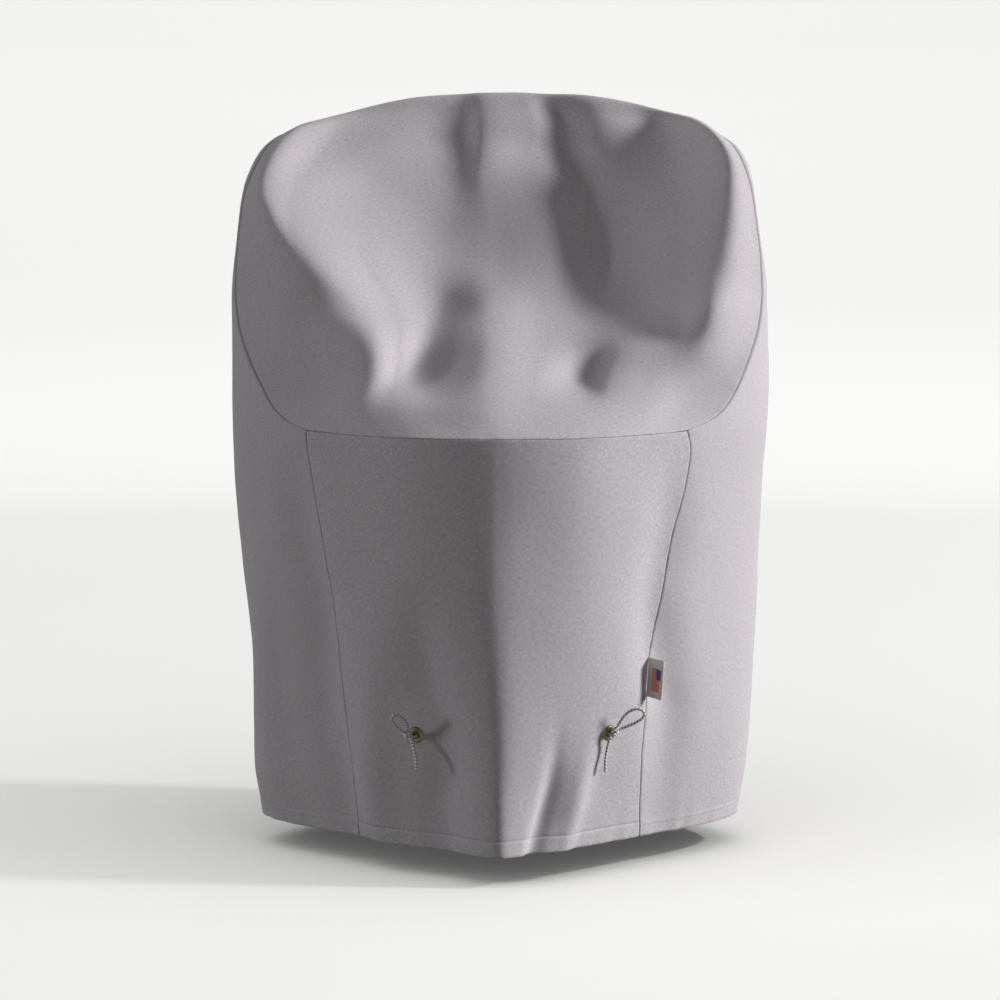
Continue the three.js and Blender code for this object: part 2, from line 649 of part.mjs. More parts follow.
// Each tie is one cord: out of its eyelet, through a knot, round a loop and back through the knot to a
// free tail. Places count along the wall, up and out from the eyelet.
const TIES = {
  right: {
    knot: { along: 1.1, up: 3.8, out: 8.6 },
    loop: [
      { along: 4.2, up: 11.8, out: 10 },
      { along: 7.2, up: 19.9, out: 12.5 },
      { along: 11.4, up: 26.6, out: 16 },
      { along: 16.6, up: 31, out: 20.5 },
      { along: 22.2, up: 31.2, out: 24.6 },
      { along: 26, up: 26.9, out: 26.3 },
      { along: 24.6, up: 20.6, out: 24.4 },
      { along: 19.4, up: 15.5, out: 20.4 },
      { along: 13.8, up: 11.2, out: 15.6 },
      { along: 9.4, up: 7.8, out: 11.6 },
    ],
    tail: [
      { along: -4.4, up: -2.6, out: 7.8 },
      { along: -5.4, up: -11.4, out: 5.9 },
      { along: -6.6, up: -21, out: 5.6 },
      { along: -8.2, up: -30.6, out: 6.4 },
      { along: -8.2, up: -41, out: 7.6 },
    ],
  },
  left: {
    knot: { along: 3.6, up: 4, out: 14 },
    loop: [
      { along: 1.2, up: 12.8, out: 17 },
      { along: 1.2, up: 20, out: 21 },
      { along: 3, up: 25.6, out: 26 },
      { along: 5.9, up: 28.9, out: 31 },
      { along: 9.2, up: 28.4, out: 34.2 },
      { along: 10.8, up: 24.2, out: 34.4 },
      { along: 9.8, up: 19, out: 31 },
      { along: 7.6, up: 13.4, out: 26 },
      { along: 5.6, up: 9.3, out: 20.6 },
    ],
    tail: [
      { along: 0.1, up: -1.4, out: 13.2 },
      { along: -2.8, up: -7, out: 14.5 },
      { along: -5.6, up: -14, out: 16.5 },
      { along: -8.4, up: -23, out: 19 },
      { along: -10.2, up: -34.3, out: 21.5 },
    ],
  },
};

function cordGeometry(points) {
  const path = new THREE.CatmullRomCurve3(points);
  const round = new THREE.Shape();
  for (let k = 0; k < CORD.sides; k += 1) {
    const angle = 2 * Math.PI * k / CORD.sides;
    const x = CORD.diameter / 2 * Math.cos(angle);
    const y = CORD.diameter / 2 * Math.sin(angle);
    if (k === 0) round.moveTo(x, y);
    else round.lineTo(x, y);
  }
  const steps = Math.max(2, Math.round(path.getLength() / CORD.step));
  return outwardFacing(new THREE.ExtrudeGeometry(round, { steps, extrudePath: path, bevelEnabled: false }));
}

function knotGeometry(centre) {
  const geometry = new THREE.IcosahedronGeometry(KNOT.radius, 3);
  const p = geometry.attributes.position;
  for (let k = 0; k < p.count; k += 1) {
    const v = new THREE.Vector3().fromBufferAttribute(p, k).normalize();
    const twist = KNOT.lobes * (Math.atan2(v.y, v.x) + v.z);
    v.multiplyScalar(KNOT.radius * (1 - KNOT.lobeDepth * (1 + Math.cos(twist))));
    p.setXYZ(k, v.x, v.y, v.z);
  }
  geometry.translate(centre.x, centre.y, centre.z);
  return outwardFacing(geometry);
}

function tieGeometries(tie, frame) {
  const knot = inFrame(frame, tie.knot);
  const leave = (towards) => knot.clone().add(towards.clone().sub(knot).setLength(KNOT.radius + KNOT.gap));
  const seat = CORD.diameter / 2 + CORD.clearance - EYELET.hole;
  const root = inFrame(frame, { along: 0, up: seat, out: -CLOTH - CORD.behind });
  const mouth = inFrame(frame, { along: 0, up: seat, out: CORD.mouth });
  const loop = tie.loop.map((p) => inFrame(frame, p));
  const tail = tie.tail.map((p) => inFrame(frame, p));
  return {
    stem: cordGeometry([root, mouth, leave(mouth)]),
    knot: knotGeometry(knot),
    loop: cordGeometry([leave(loop[0]), ...loop, leave(loop[loop.length - 1])]),
    tail: cordGeometry([leave(tail[0]), ...tail]),
  };
}

// The label is a short ribbon folded once, its two ends caught in the right front seam.
function labelGeometry() {
  const { height, reach, layer, between, midZ, droop, clearance } = LABEL;
  const seamPoint = (z) => wallPoint(1, seamPlace(FRONT_SEAM, 1, z, false), z);
  const foot = seamPoint(midZ - height / 2);
  const head = seamPoint(midZ + height / 2);
  const frame = wallFrame(1, readColumn(FRONT_SEAM, 'right', midZ), midZ);
  const up = head.clone().sub(foot).normalize();
  const out = frame.out.clone().addScaledVector(up, -droop / reach);
  const across = new THREE.Vector3().crossVectors(up, frame.out);
  const half = between / 2 + layer;
  const shape = new THREE.Shape();
  shape.moveTo(clearance, -half);
  shape.lineTo(reach - half, -half);
  shape.absarc(reach - half, 0, half, -Math.PI / 2, Math.PI / 2, false);
  shape.lineTo(clearance, half);
  shape.lineTo(clearance, between / 2);
  shape.lineTo(reach - half, between / 2);
  shape.absarc(reach - half, 0, between / 2, Math.PI / 2, -Math.PI / 2, true);
  shape.lineTo(clearance, -between / 2);
  const options = { depth: height, steps: 1, curveSegments: 6, bevelEnabled: false };
  const geometry = new THREE.ExtrudeGeometry(shape, options);
  geometry.applyMatrix4(new THREE.Matrix4().makeBasis(out, across, up).setPosition(foot));
  return outwardFacing(geometry);
}

function addPiece(group, name, geometry, material) {
  const mesh = new THREE.Mesh(geometry, new THREE.MeshStandardMaterial(material));
  mesh.name = name;
  group.add(mesh);
}

const cover = new THREE.Group();
const strip = stripGrid();
const wallRows = strip.grid.length - 1 - strip.topRow;
const rightGrid = sideGrid(1, strip, wallRows);
const leftGrid = sideGrid(-1, strip, wallRows).map((row) => [...row].reverse());
const panels = sheetGeometries([
  { grid: strip.grid },
  { grid: frontGrid(strip, wallRows) },
  { grid: rightGrid },
  { grid: leftGrid },
]);
const frames = {
  right: wallFrame(1, EYELET_PLACES.right.x, EYELET_PLACES.right.z),
  left: wallFrame(-1, EYELET_PLACES.left.x, EYELET_PLACES.left.z),
};
addPiece(cover, 'lap_and_back_panel', panels[0], WOVEN_CLOTH);
addPiece(cover, 'front_panel', await pierced(panels[1], [frames.right, frames.left]), WOVEN_CLOTH);
addPiece(cover, 'side_panel_right', panels[2], WOVEN_CLOTH);
addPiece(cover, 'side_panel_left', panels[3], WOVEN_CLOTH);
for (const name of ['right', 'left']) {
  const eyelet = eyeletGeometry(frames[name], seatOf(panels[1], frames[name]));
  addPiece(cover, `eyelet_${name}`, eyelet, AGED_BRASS);
  for (const [piece, geometry] of Object.entries(tieGeometries(TIES[name], frames[name]))) {
    addPiece(cover, `tie_${name}_${piece}`, geometry, BRAIDED_CORD);
  }
}
addPiece(cover, 'label', labelGeometry(), RIBBON);
cover.position.set(-ORIGIN.x, -ORIGIN.y, -ORIGIN.z);

export default cover;
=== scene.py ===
# A fitted cover for a dining chair: a hollow sewn shell of woven cloth, held up under its top edge.
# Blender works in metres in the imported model's frame: +Z up, -Y to the skirt's front corner, the origin
# under the cover's top edge. The cover's own tables are in millimetres above the floor, as it was cut.
import functools
import math
import bpy
from mathutils import Matrix, Vector, noise


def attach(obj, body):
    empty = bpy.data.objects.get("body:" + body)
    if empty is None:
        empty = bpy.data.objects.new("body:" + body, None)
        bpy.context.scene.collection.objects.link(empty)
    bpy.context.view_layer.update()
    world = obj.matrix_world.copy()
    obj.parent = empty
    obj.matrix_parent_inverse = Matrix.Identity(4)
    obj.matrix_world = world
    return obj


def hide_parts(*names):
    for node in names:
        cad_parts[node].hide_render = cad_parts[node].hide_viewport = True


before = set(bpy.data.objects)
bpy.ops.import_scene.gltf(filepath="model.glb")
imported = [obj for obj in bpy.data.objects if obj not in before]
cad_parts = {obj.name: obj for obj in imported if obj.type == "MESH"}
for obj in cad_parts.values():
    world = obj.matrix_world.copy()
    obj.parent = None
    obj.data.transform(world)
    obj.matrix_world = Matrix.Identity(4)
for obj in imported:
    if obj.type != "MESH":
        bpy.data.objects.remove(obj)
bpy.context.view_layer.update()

# Studio and camera. A painted floor runs up in a round cove into a white wall all the way round. The
# key is small and hard, low on the right; a weak one fills from the left. The floor has lights of its
# own, so that it stays pale without lifting the cover's shaded side.
MM = 0.001
FLOOR_MIDDLE = Vector((0, 203, 880))     # the frame's origin as seen from the floor's middle, in mm


def in_frame(point):
    return (Vector(point) - FLOOR_MIDDLE) * MM


def linear(colour):
    """An sRGB hex colour as linear red, green, blue and alpha."""
    parts = [int(colour[k:k + 2], 16) / 255 for k in (1, 3, 5)]
    return [c / 12.92 if c <= 0.04045 else ((c + 0.055) / 1.055) ** 2.4 for c in parts] + [1.0]


def add_node(tree, kind, inputs=(), **settings):
    """Adds one node with its settings; an input is a value or the socket that feeds it."""
    made = tree.nodes.new(kind)
    for name, value in settings.items():
        setattr(made, name, value)
    for socket, value in dict(inputs).items():
        if isinstance(value, bpy.types.NodeSocket):
            tree.links.new(value, made.inputs[socket])
        else:
            made.inputs[socket].default_value = value
    return made


def new_material(name):
    material = bpy.data.materials.new(name)
    material.use_nodes = True
    return material, material.node_tree, material.node_tree.nodes["Principled BSDF"]


def turned(name, profile, sides):
    """A piece turned round +Z from (radius, height) points, ring by ring, as on a lathe."""
    bpy.ops.object.select_all(action="DESELECT")
    first, height = profile[0]
    bpy.ops.mesh.primitive_circle_add(vertices=sides, radius=first, location=(0, 0, 0))
    piece = bpy.context.object
    piece.name = piece.data.name = name
    bpy.ops.object.mode_set(mode="EDIT")
    bpy.ops.mesh.select_all(action="SELECT")
    bpy.ops.transform.translate(value=(0, 0, height))
    radius = first
    for next_radius, next_height in profile[1:]:
        bpy.ops.mesh.extrude_edges_move(TRANSFORM_OT_translate={"value": (0, 0, next_height - height)})
        share = next_radius / radius
        bpy.ops.transform.resize(value=(share, share, 1))
        radius, height = next_radius, next_height
    bpy.ops.mesh.select_all(action="SELECT")
    bpy.ops.mesh.remove_doubles(threshold=1e-6)
    bpy.ops.mesh.normals_make_consistent(inside=False)
    bpy.ops.object.mode_set(mode="OBJECT")
    bpy.ops.object.shade_smooth()
    return piece


FLOOR_Z = -FLOOR_MIDDLE.z * MM
COVE = {"start": 5.0, "radius": 1.5, "wall": 3.0, "turns": 8}
cove_profile = [(0.02, FLOOR_Z), (1.5, FLOOR_Z), (3.0, FLOOR_Z), (COVE["start"], FLOOR_Z)]
for k in range(1, COVE["turns"] + 1):
    angle = math.pi / 2 * k / COVE["turns"]
    cove_profile.append((COVE["start"] + COVE["radius"] * math.sin(angle),
                         FLOOR_Z + COVE["radius"] * (1 - math.cos(angle))))
cove_profile.append((COVE["start"] + COVE["radius"], FLOOR_Z + COVE["radius"] + COVE["wall"]))
cove_profile.reverse()
studio = turned("studio_cove", cove_profile, 96)
bpy.ops.object.mode_set(mode="EDIT")
bpy.ops.mesh.select_all(action="DESELECT")
bpy.ops.mesh.select_non_manifold()
bpy.ops.object.mode_set(mode="OBJECT")
for vertex in studio.data.vertices:
    vertex.select = vertex.select and vertex.co.z < FLOOR_Z + 0.1
for edge in studio.data.edges:
    edge.select = all(studio.data.vertices[v].select for v in edge.vertices)
bpy.ops.object.mode_set(mode="EDIT")
bpy.ops.mesh.edge_face_add()
bpy.ops.mesh.select_all(action="SELECT")
bpy.ops.mesh.normals_make_consistent(inside=True)
bpy.ops.object.mode_set(mode="OBJECT")

# Matt white studio paint. It glows faintly, more so far off and most up the wall, as if lamps of its
# own lit the wall.
paint, tree, shader = new_material("matt_studio_paint")
where = add_node(tree, "ShaderNodeTexCoord").outputs["Object"]
level = add_node(tree, "ShaderNodeVectorMath", {0: where, 1: (1, 1, 0)}, operation="MULTIPLY")
far_off = add_node(tree, "ShaderNodeVectorMath", {0: level.outputs[0]}, operation="LENGTH").outputs["Value"]
height = add_node(tree, "ShaderNodeSeparateXYZ", {0: where}).outputs["Z"]
wall_glow = add_node(tree, "ShaderNodeMapRange",
                     {"Value": height, "From Min": FLOOR_Z + 0.5, "From Max": FLOOR_Z + 1.5,
                      "To Min": 0.065, "To Max": 0.29}, interpolation_type="SMOOTHSTEP")
glow = add_node(tree, "ShaderNodeMath", {0: far_off, 1: 0.009, 2: wall_glow.outputs["Result"]},
                operation="MULTIPLY_ADD")
shader.inputs["Base Color"].default_value = linear("#e6e6e4")
shader.inputs["Roughness"].default_value = 0.9
shader.inputs["Specular IOR Level"].default_value = 0.0
shader.inputs["Emission Color"].default_value = linear("#fdfdfb")
tree.links.new(glow.outputs[0], shader.inputs["Emission Strength"])
studio.data.materials.append(paint)
studio.visible_diffuse = False
studio.visible_shadow = False


def shine_on(lamp, only=None, but=None):
    """Lets a lamp light one object only, or all but one."""
    group = bpy.data.collections.new(lamp.name + "_on")
    group.objects.link(only or but)
    lamp.light_linking.receiver_collection = group
    if but:
        group.collection_objects[0].light_linking.link_state = "EXCLUDE"


def add_sun(name, azimuth, elevation, strength, width):
    """A far light from that side, in degrees; width is the angle that it fills, so it sets the softness."""
    bpy.ops.object.light_add(type="SUN", location=(0, 0, 3))
    lamp = bpy.context.object
    lamp.name = name
    a, e = math.radians(azimuth), math.radians(elevation)
    from_side = Vector((math.cos(e) * math.sin(a), -math.cos(e) * math.cos(a), math.sin(e)))
    lamp.rotation_mode = "QUATERNION"
    lamp.rotation_quaternion = from_side.to_track_quat("Z", "Y")
    lamp.data.energy = strength
    lamp.data.angle = math.radians(width)
    return lamp


shine_on(add_sun("key_light", 90, 19, 3.62, 16), but=studio)
shine_on(add_sun("fill_light", -81, 8, 0.52, 8), but=studio)
shine_on(add_sun("top_light", 0, 90, 0.4, 130), but=studio)
shine_on(add_sun("floor_fill", 0, 60, 2.68, 120), only=studio)
bpy.ops.object.light_add(type="AREA", location=(7.0, -1.25, FLOOR_Z + 6.1))
floor_lamp = bpy.context.object
floor_lamp.name = "floor_lamp"
floor_lamp.rotation_mode = "QUATERNION"
floor_lamp.rotation_quaternion = (floor_lamp.location - Vector((0, 0, FLOOR_Z))).to_track_quat("Z", "Y")
floor_lamp.data.size = 0.75
floor_lamp.data.energy = 258
shine_on(floor_lamp, only=studio)
world = bpy.data.worlds.new("studio_air")
world.use_nodes = True
world.node_tree.nodes["Background"].inputs["Color"].default_value = (1, 1, 1, 1)
world.node_tree.nodes["Background"].inputs["Strength"].default_value = 0.08
bpy.context.scene.world = world
bpy.context.scene.view_settings.view_transform = "Standard"

CAMERA = {"back": 3290, "height": 630, "down": 4.02, "lens": 102.4}
bpy.ops.object.camera_add(location=in_frame((0, -CAMERA["back"], CAMERA["height"])),
                          rotation=(math.radians(90 - CAMERA["down"]), 0, 0))
bpy.context.object.data.lens = CAMERA["lens"]
bpy.context.object.data.sensor_width = 36
bpy.context.scene.camera = bpy.context.object

# The wall that the skirt, the eyelets, the ties and the label all sit on. Each height has a section of
# four curves that meet at the front corner, at the widest places and at the middle of the back; the
# front corner is rounded and soft upright folds stand in or out of it.
HEM_Z, CORNER_Z, PEAK_Z = 33, 487, 835


def columns(names, *rows):
    return {name: [row[k] for row in rows] for k, name in enumerate(names.split())}


WALL = columns(
    "z right left side_y prow_y face back_y",
    (HEM_Z, 280, 277, 0, -290, 40, 282),
    (100, 291, 286, 0, -291, 33, 284),
    (140, 294, 286, 0, -291, 28, 285),
    (200, 296, 286, 0, -291, 23, 286),
    (330, 300, 299, 3, -290, 18, 288),
    (430, 305, 308, 8, -288, 16, 288),
    (CORNER_Z, 310, 310, 12, -285, 16, 287),
    (560, 313, 312, 30, -280, 16, 284),
    (640, 313, 314, 55, -260, 16, 280),
    (705, 307, 310, 78, -230, 16, 275),
    (763, 301.5, 305, 110, -200, 16, 266),
    (789, 297.5, 297, 130, -180, 16, 259),
    (812, 287, 285, 152, -160, 16, 251),
    (826, 271, 270, 172, -140, 16, 243),
    (PEAK_Z, 258, 254, 190, -120, 16, 234),
)
PROW = columns(
    "z x",
    (HEM_Z, -2),
    (160, -3),
    (330, -12),
)
BENDS = columns(
    "z rounding face_end back_end side_turn back_turn",
    (HEM_Z, 14, 0.49, 0.35, 0.16, 0.30),
    (250, 18, 0.55, 0.42, 0.22, 0.38),
    (CORNER_Z, 44, 0.58, 0.60, 0.25, 0.50),
)
FRONT_SEAM = columns(
    "z right left",
    (HEM_Z, 156.5, 160.5),
    (120, 158, 165.5),
    (208, 167, 177.5),
    (300, 182.5, 190),
    (367, 194, 199),
    (435, 208.5, 209),
    (465, 211.5, 213),
    (CORNER_Z, 207, 214),
)
LAP_SEAM = columns(
    "z right left",
    (CORNER_Z, 207, 214),
    (496, 232, 236),
    (509, 251, 252),
    (537, 270, 270),
    (562, 282, 284),
    (605, 298, 301),
    (642, 303.5, 307),
    (675, 303.5, 307),
    (737, 299, 303),
    (757, 297, 300),
    (780, 291, 292),
    (812, 277, 276),
    (PEAK_Z, 258, 254),
)
BACK_SEAM = columns(
    "z right left",
    (HEM_Z, 178, 178),
    (300, 190, 190),
    (600, 205, 205),
    (750, 226, 226),
    (800, 240, 240),
    (PEAK_Z, 258, 254),
)
# Soft upright folds: side, half width and, up the fold, its angle round from the front corner and how
# far it stands out.
WALL_FOLDS = tuple((side, half_width, columns("z angle out", *rows)) for side, half_width, *rows in (
    (1, 60, (120, 20, 0), (260, 21, 5), (340, 21, 7), (430, 21, 8)),
    (1, 33, (HEM_Z, 53, -3), (96, 51, -5), (170, 50, -9), (215, 46, -11), (260, 44, -11),
     (304, 43, -10), (347, 45, -9), (391, 47, -7), (435, 48, -4), (480, 49, 0)),
    (1, 10, (HEM_Z, 8, -8), (80, 11, -8), (110, 12.5, -6), (150, 13.5, -2), (190, 14, 0)),
    (1, 16, (HEM_Z, 16, 6), (80, 19, 8), (110, 20.5, 6), (150, 22, 2), (190, 22, 0)),
    (1, 30, (HEM_Z, 88, -4), (150, 89, -3), (300, 90, 0)),
    (1, 40, (HEM_Z, 140, -6), (220, 143, -6), (420, 146, 0)),
    (-1, 60, (200, 20, 0), (300, 21, 5), (340, 22, 6), (430, 22, 6)),
    (-1, 26, (HEM_Z, 14, -8), (80, 15, -9), (125, 13, -9), (171, 14, -8), (216, 17, -8),
     (260, 18, -7), (330, 20, 0)),
    (-1, 32, (HEM_Z, 37, 6), (80, 37, 10), (125, 36, 11), (171, 35, 9), (216, 34, 7),
     (270, 33, 3), (330, 32, 0)),
    (-1, 32, (HEM_Z, 48, -6), (80, 49, -8), (125, 51, -8), (171, 53, -9), (216, 53, -10),
     (260, 52, -11), (304, 52, -11), (347, 55, -10), (391, 57, -8), (435, 58, -4), (480, 60, 0)),
    (-1, 34, (HEM_Z, 77, 3), (96, 78, 9), (200, 78, 12), (270, 77, 8), (340, 75, 3), (390, 74, 0)),
    (-1, 42, (HEM_Z, 128, -6), (200, 132, -6), (380, 136, 0)),
))


def side_name(side):
    return "right" if side > 0 else "left"


def slopes_of(xs, ys):
    """Slopes that let a smooth curve follow a column without overshoot."""
    steps = [b - a for a, b in zip(xs, xs[1:])]
    rises = [(b - a) / h for a, b, h in zip(ys, ys[1:], steps)]
    slopes = [rises[0]]
    for k in range(1, len(rises)):
        if rises[k - 1] * rises[k] <= 0:
            slopes.append(0)
            continue
        before = 2 * steps[k] + steps[k - 1]
        after = steps[k] + 2 * steps[k - 1]
        slopes.append((before + after) / (before / rises[k - 1] + after / rises[k]))
    return slopes + [rises[-1]]


slope_store = {}


def read(table, name, z):
    xs, ys = table["z"], table[name]
    if z <= xs[0]:
        return ys[0]
    if z >= xs[-1]:
        return ys[-1]
    slopes = slope_store.setdefault(id(ys), slopes_of(xs, ys))
    k = 0
    while z > xs[k + 1]:
        k += 1
    h = xs[k + 1] - xs[k]
    t = (z - xs[k]) / h
    s = 1 - t
    return ((1 + 2 * t) * s * s * ys[k] + t * s * s * h * slopes[k]
            + t * t * (3 - 2 * t) * ys[k + 1] - t * t * s * h * slopes[k + 1])


def smooth_step(t):
    t = min(1, max(0, t))
    return t * t * (3 - 2 * t)


@functools.lru_cache(maxsize=None)
def wall_section(side, z):
    """The section's front and back curves on one side, each as its four x and its four y."""
    width = read(WALL, side_name(side), z)
    side_y, prow_y, back_y = (read(WALL, name, z) for name in ("side_y", "prow_y", "back_y"))
    run = math.tan(math.radians(read(WALL, "face", z)))
    prow_x = read(PROW, "x", z) * side
    face_end = width * read(BENDS, "face_end", z)
    back_end = width * read(BENDS, "back_end", z)
    side_turn = read(BENDS, "side_turn", z) * (side_y - prow_y)
    back_turn = read(BENDS, "back_turn", z) * (back_y - side_y)
    front = ((prow_x, face_end, width, width),
             (prow_y, prow_y + (face_end - prow_x) * run, side_y - side_turn, side_y))
    back = ((width, width, back_end, 0), (side_y, side_y + back_turn, back_y, back_y))
    return front, back, run, prow_x, read(BENDS, "rounding", z)


def bezier(c, t):
    s = 1 - t
    return s * s * s * c[0] + 3 * s * s * t * c[1] + 3 * s * t * t * c[2] + t * t * t * c[3]


def bezier_slope(c, t):
    s = 1 - t
    return s * s * (c[1] - c[0]) + 2 * s * t * (c[2] - c[1]) + t * t * (c[3] - c[2])


def fold_height(side, x, y, z):
    angle = math.degrees(math.atan2(abs(x), -y))
    radius = math.hypot(x, y)
    height = 0
    for fold_side, half_width, line in WALL_FOLDS:
        if fold_side == side:
            off = math.radians(angle - read(line, "angle", z)) * radius / half_width
            height += read(line, "out", z) * math.exp(-off * off)
    return height


def wall_point(side, place, z):
    """place is 0 at the front corner, 1 at the widest and 2 at the middle of the back."""
    front, back, run, prow_x, rounding = wall_section(side, z)
    xs, ys = front if place <= 1 else back
    t = place if place <= 1 else place - 1
    x, y = bezier(xs, t), bezier(ys, t)
    held = min(max(t, 0.0001), 0.999)
    dx, dy = bezier_slope(xs, held), bezier_slope(ys, held)
    size = math.hypot(dx, dy)
    if place <= 1:
        from_prow = abs(x - prow_x)
        y += run * (math.hypot(from_prow, rounding) - from_prow)
    out = fold_height(side, x, y, z)
    return Vector((side * (x + out * dy / size), y - out * dx / size, z))


def place_at(side, x, z, on_back):
    """Where a section crosses x, by halving."""
    xs = wall_section(side, z)[1 if on_back else 0][0]
    low, high = 0.0, 1.0
    for _ in range(24):
        middle = (low + high) / 2
        before = bezier(xs, middle) > x if on_back else bezier(xs, middle) < x
        low, high = (middle, high) if before else (low, middle)
    return (low + high) / 2 + (1 if on_back else 0)


def seam_place(seam, side, z, on_back=False):
    return place_at(side, read(seam, side_name(side), z), z, on_back)


def wall_axes(side, x, z):
    """A place on the wall with its own directions: along it from the front corner, up, and out."""
    place = place_at(side, x, z, False)
    centre = wall_point(side, place, z)
    along = (wall_point(side, place + 0.02, z) - wall_point(side, place - 0.02, z)).normalized()
    up = (wall_point(side, place, z + 6) - wall_point(side, place, z - 6)).normalized()
    out = (along.cross(up) * side).normalized()
    return centre, along, up, out


def on_axes(axes, along, up, out):
    return axes[0] + axes[1] * along + axes[2] * up + axes[3] * out


# Tie cords. Each is one length of round braided polyester cord, 3.2 mm thick, white with a dark
# tracer, that comes out of its eyelet, passes a wrapped knot, makes one open loop and hangs down again.
CORD_DIAMETER = 3.2
EYELET_PLACES = {"right": (118, 159.4), "left": (91.6, 160.5)}
ROOT = (0, -1.7, -6)
MOUTH = (0, -1.7, 4)
# along the wall, up and out from the eyelet
KNOTS = {"right": (1.1, 3.8, 8.6), "left": (3.6, 4, 14)}
LOOPS = {
    "right": ((4.2, 11.8, 10), (7.2, 19.9, 12.5), (11.4, 26.6, 16), (16.6, 31, 20.5),
              (22.2, 31.2, 24.6), (26, 26.9, 26.3), (24.6, 20.6, 24.4), (19.4, 15.5, 20.4),
              (13.8, 11.2, 15.6), (9.4, 7.8, 11.6)),
    "left": ((1.2, 12.8, 17), (1.2, 20, 21), (3, 25.6, 26), (5.9, 28.9, 31), (9.2, 28.4, 34.2),
             (10.8, 24.2, 34.4), (9.8, 19, 31), (7.6, 13.4, 26), (5.6, 9.3, 20.6)),
}
TAILS = {
    "right": ((-4.4, -2.6, 7.8), (-5.4, -11.4, 5.9), (-6.6, -21, 5.6), (-8.2, -30.6, 6.4),
              (-8.2, -41, 7.6)),
    "left": ((0.1, -1.4, 13.2), (-2.8, -7, 14.5), (-5.6, -14, 16.5), (-8.4, -23, 19),
             (-10.2, -34.3, 21.5)),
}
# the knot is a short coil of the same cord round the place where the loop starts and ends
WRAP = {"thick": 0.94, "places": 23, "per_turn": 9, "reach": 2.7, "tucked": 1.2, "long": 7.5}
BRAID = {"pitch": 3.7, "strands": 4, "depth": 0.13, "ring": 0.45, "sides": 16}


def through(points, t):
    """A smooth curve through points, spaced by their distances."""
    last = len(points) - 1
    k = min(int(t), last - 1)
    u = t - k
    p1, p2 = points[k], points[k + 1]
    p0 = points[k - 1] if k else p1 * 2 - p2
    p3 = points[k + 2] if k + 2 <= last else p2 * 2 - p1
    d1, d2, d3 = (math.sqrt(max((b - a).length, 1e-6)) for a, b in ((p0, p1), (p1, p2), (p2, p3)))
    m1 = d2 * ((p1 - p0) / d1 - (p2 - p0) / (d1 + d2) + (p2 - p1) / d2)
    m2 = d2 * ((p2 - p1) / d2 - (p3 - p1) / (d2 + d3) + (p3 - p2) / d3)
    return (p1 * (2 * u ** 3 - 3 * u ** 2 + 1) + m1 * (u ** 3 - 2 * u ** 2 + u)
            + p2 * (3 * u ** 2 - 2 * u ** 3) + m2 * (u ** 3 - u ** 2))


def even_line(points, step):
    """The smooth curve through points, cut into equal steps."""
    fine = [through(points, k / 24) for k in range(24 * (len(points) - 1) + 1)]
    length = sum((b - a).length for a, b in zip(fine, fine[1:]))
    count = max(4, round(length / step))
    line, gone, k = [fine[0]], 0.0, 0
    for n in range(1, count):
        goal = length * n / count
        while gone + (fine[k + 1] - fine[k]).length < goal:
            gone += (fine[k + 1] - fine[k]).length
            k += 1
        line.append(fine[k].lerp(fine[k + 1], (goal - gone) / (fine[k + 1] - fine[k]).length))
    return line + [fine[-1]]


def fitted_grid(name, rows):
    """A grid of faces whose corners go to rows of places, each a point in mm and its UV."""
    across, along = len(rows[0]) - 1, len(rows) - 1
    bpy.ops.object.select_all(action="DESELECT")
    bpy.ops.mesh.primitive_grid_add(x_subdivisions=across, y_subdivisions=along, size=2)
    sheet = bpy.context.object
    sheet.name = sheet.data.name = name
    cells = [(round((vertex.co.y + 1) / 2 * along), round((vertex.co.x + 1) / 2 * across))
             for vertex in sheet.data.vertices]
    for vertex, (j, i) in zip(sheet.data.vertices, cells):
        vertex.co = in_frame(rows[j][i][0])
    layer = sheet.data.uv_layers.active.data
    for loop in sheet.data.loops:
        j, i = cells[loop.vertex_index]
        layer[loop.index].uv = rows[j][i][1]
    return sheet, cells


def braided_tube(name, points, radius):
    """A round braid along points in mm. Its UV map runs round the cord and along it, in mm."""
    line = even_line(points, BRAID["ring"])
    across = (line[1] - line[0]).orthogonal().normalized()
    rings = []
    gone = 0.0
    for k, centre in enumerate(line):
        ahead = (line[min(k + 1, len(line) - 1)] - line[max(k - 1, 0)]).normalized()
        across = (across - ahead * across.dot(ahead)).normalized()
        other = ahead.cross(across)
        gone += (centre - line[k - 1]).length if k else 0
        from_end = min(k, len(line) - 1 - k) * BRAID["ring"]
        blunt = math.sqrt(min(1.0, 0.35 + from_end / radius))
        climb = math.pi * gone / BRAID["pitch"]
        ring = []
        for i in range(BRAID["sides"] + 1):
            share = i / BRAID["sides"]
            angle = 2 * math.pi * share
            turn = BRAID["strands"] * angle / 2
            lump = max(math.cos(turn + climb) ** 2, math.cos(turn - climb) ** 2)
            reach = blunt * (radius - BRAID["depth"] * (1 - lump))
            spoke = across * math.cos(angle) + other * math.sin(angle)
            ring.append((centre + spoke * reach, (share, gone)))
        rings.append(ring)
    tube, _ = fitted_grid(name, rings)
    bpy.ops.object.mode_set(mode="EDIT")
    bpy.ops.mesh.select_all(action="SELECT")
    bpy.ops.mesh.remove_doubles(threshold=1e-6)
    bpy.ops.mesh.select_all(action="DESELECT")
    bpy.ops.mesh.select_non_manifold()
    bpy.ops.mesh.edge_face_add()
    bpy.ops.mesh.select_all(action="SELECT")
    bpy.ops.mesh.normals_make_consistent(inside=False)
    bpy.ops.object.mode_set(mode="OBJECT")
    bpy.ops.object.shade_smooth()
    return tube, [in_frame(p) for p in line]


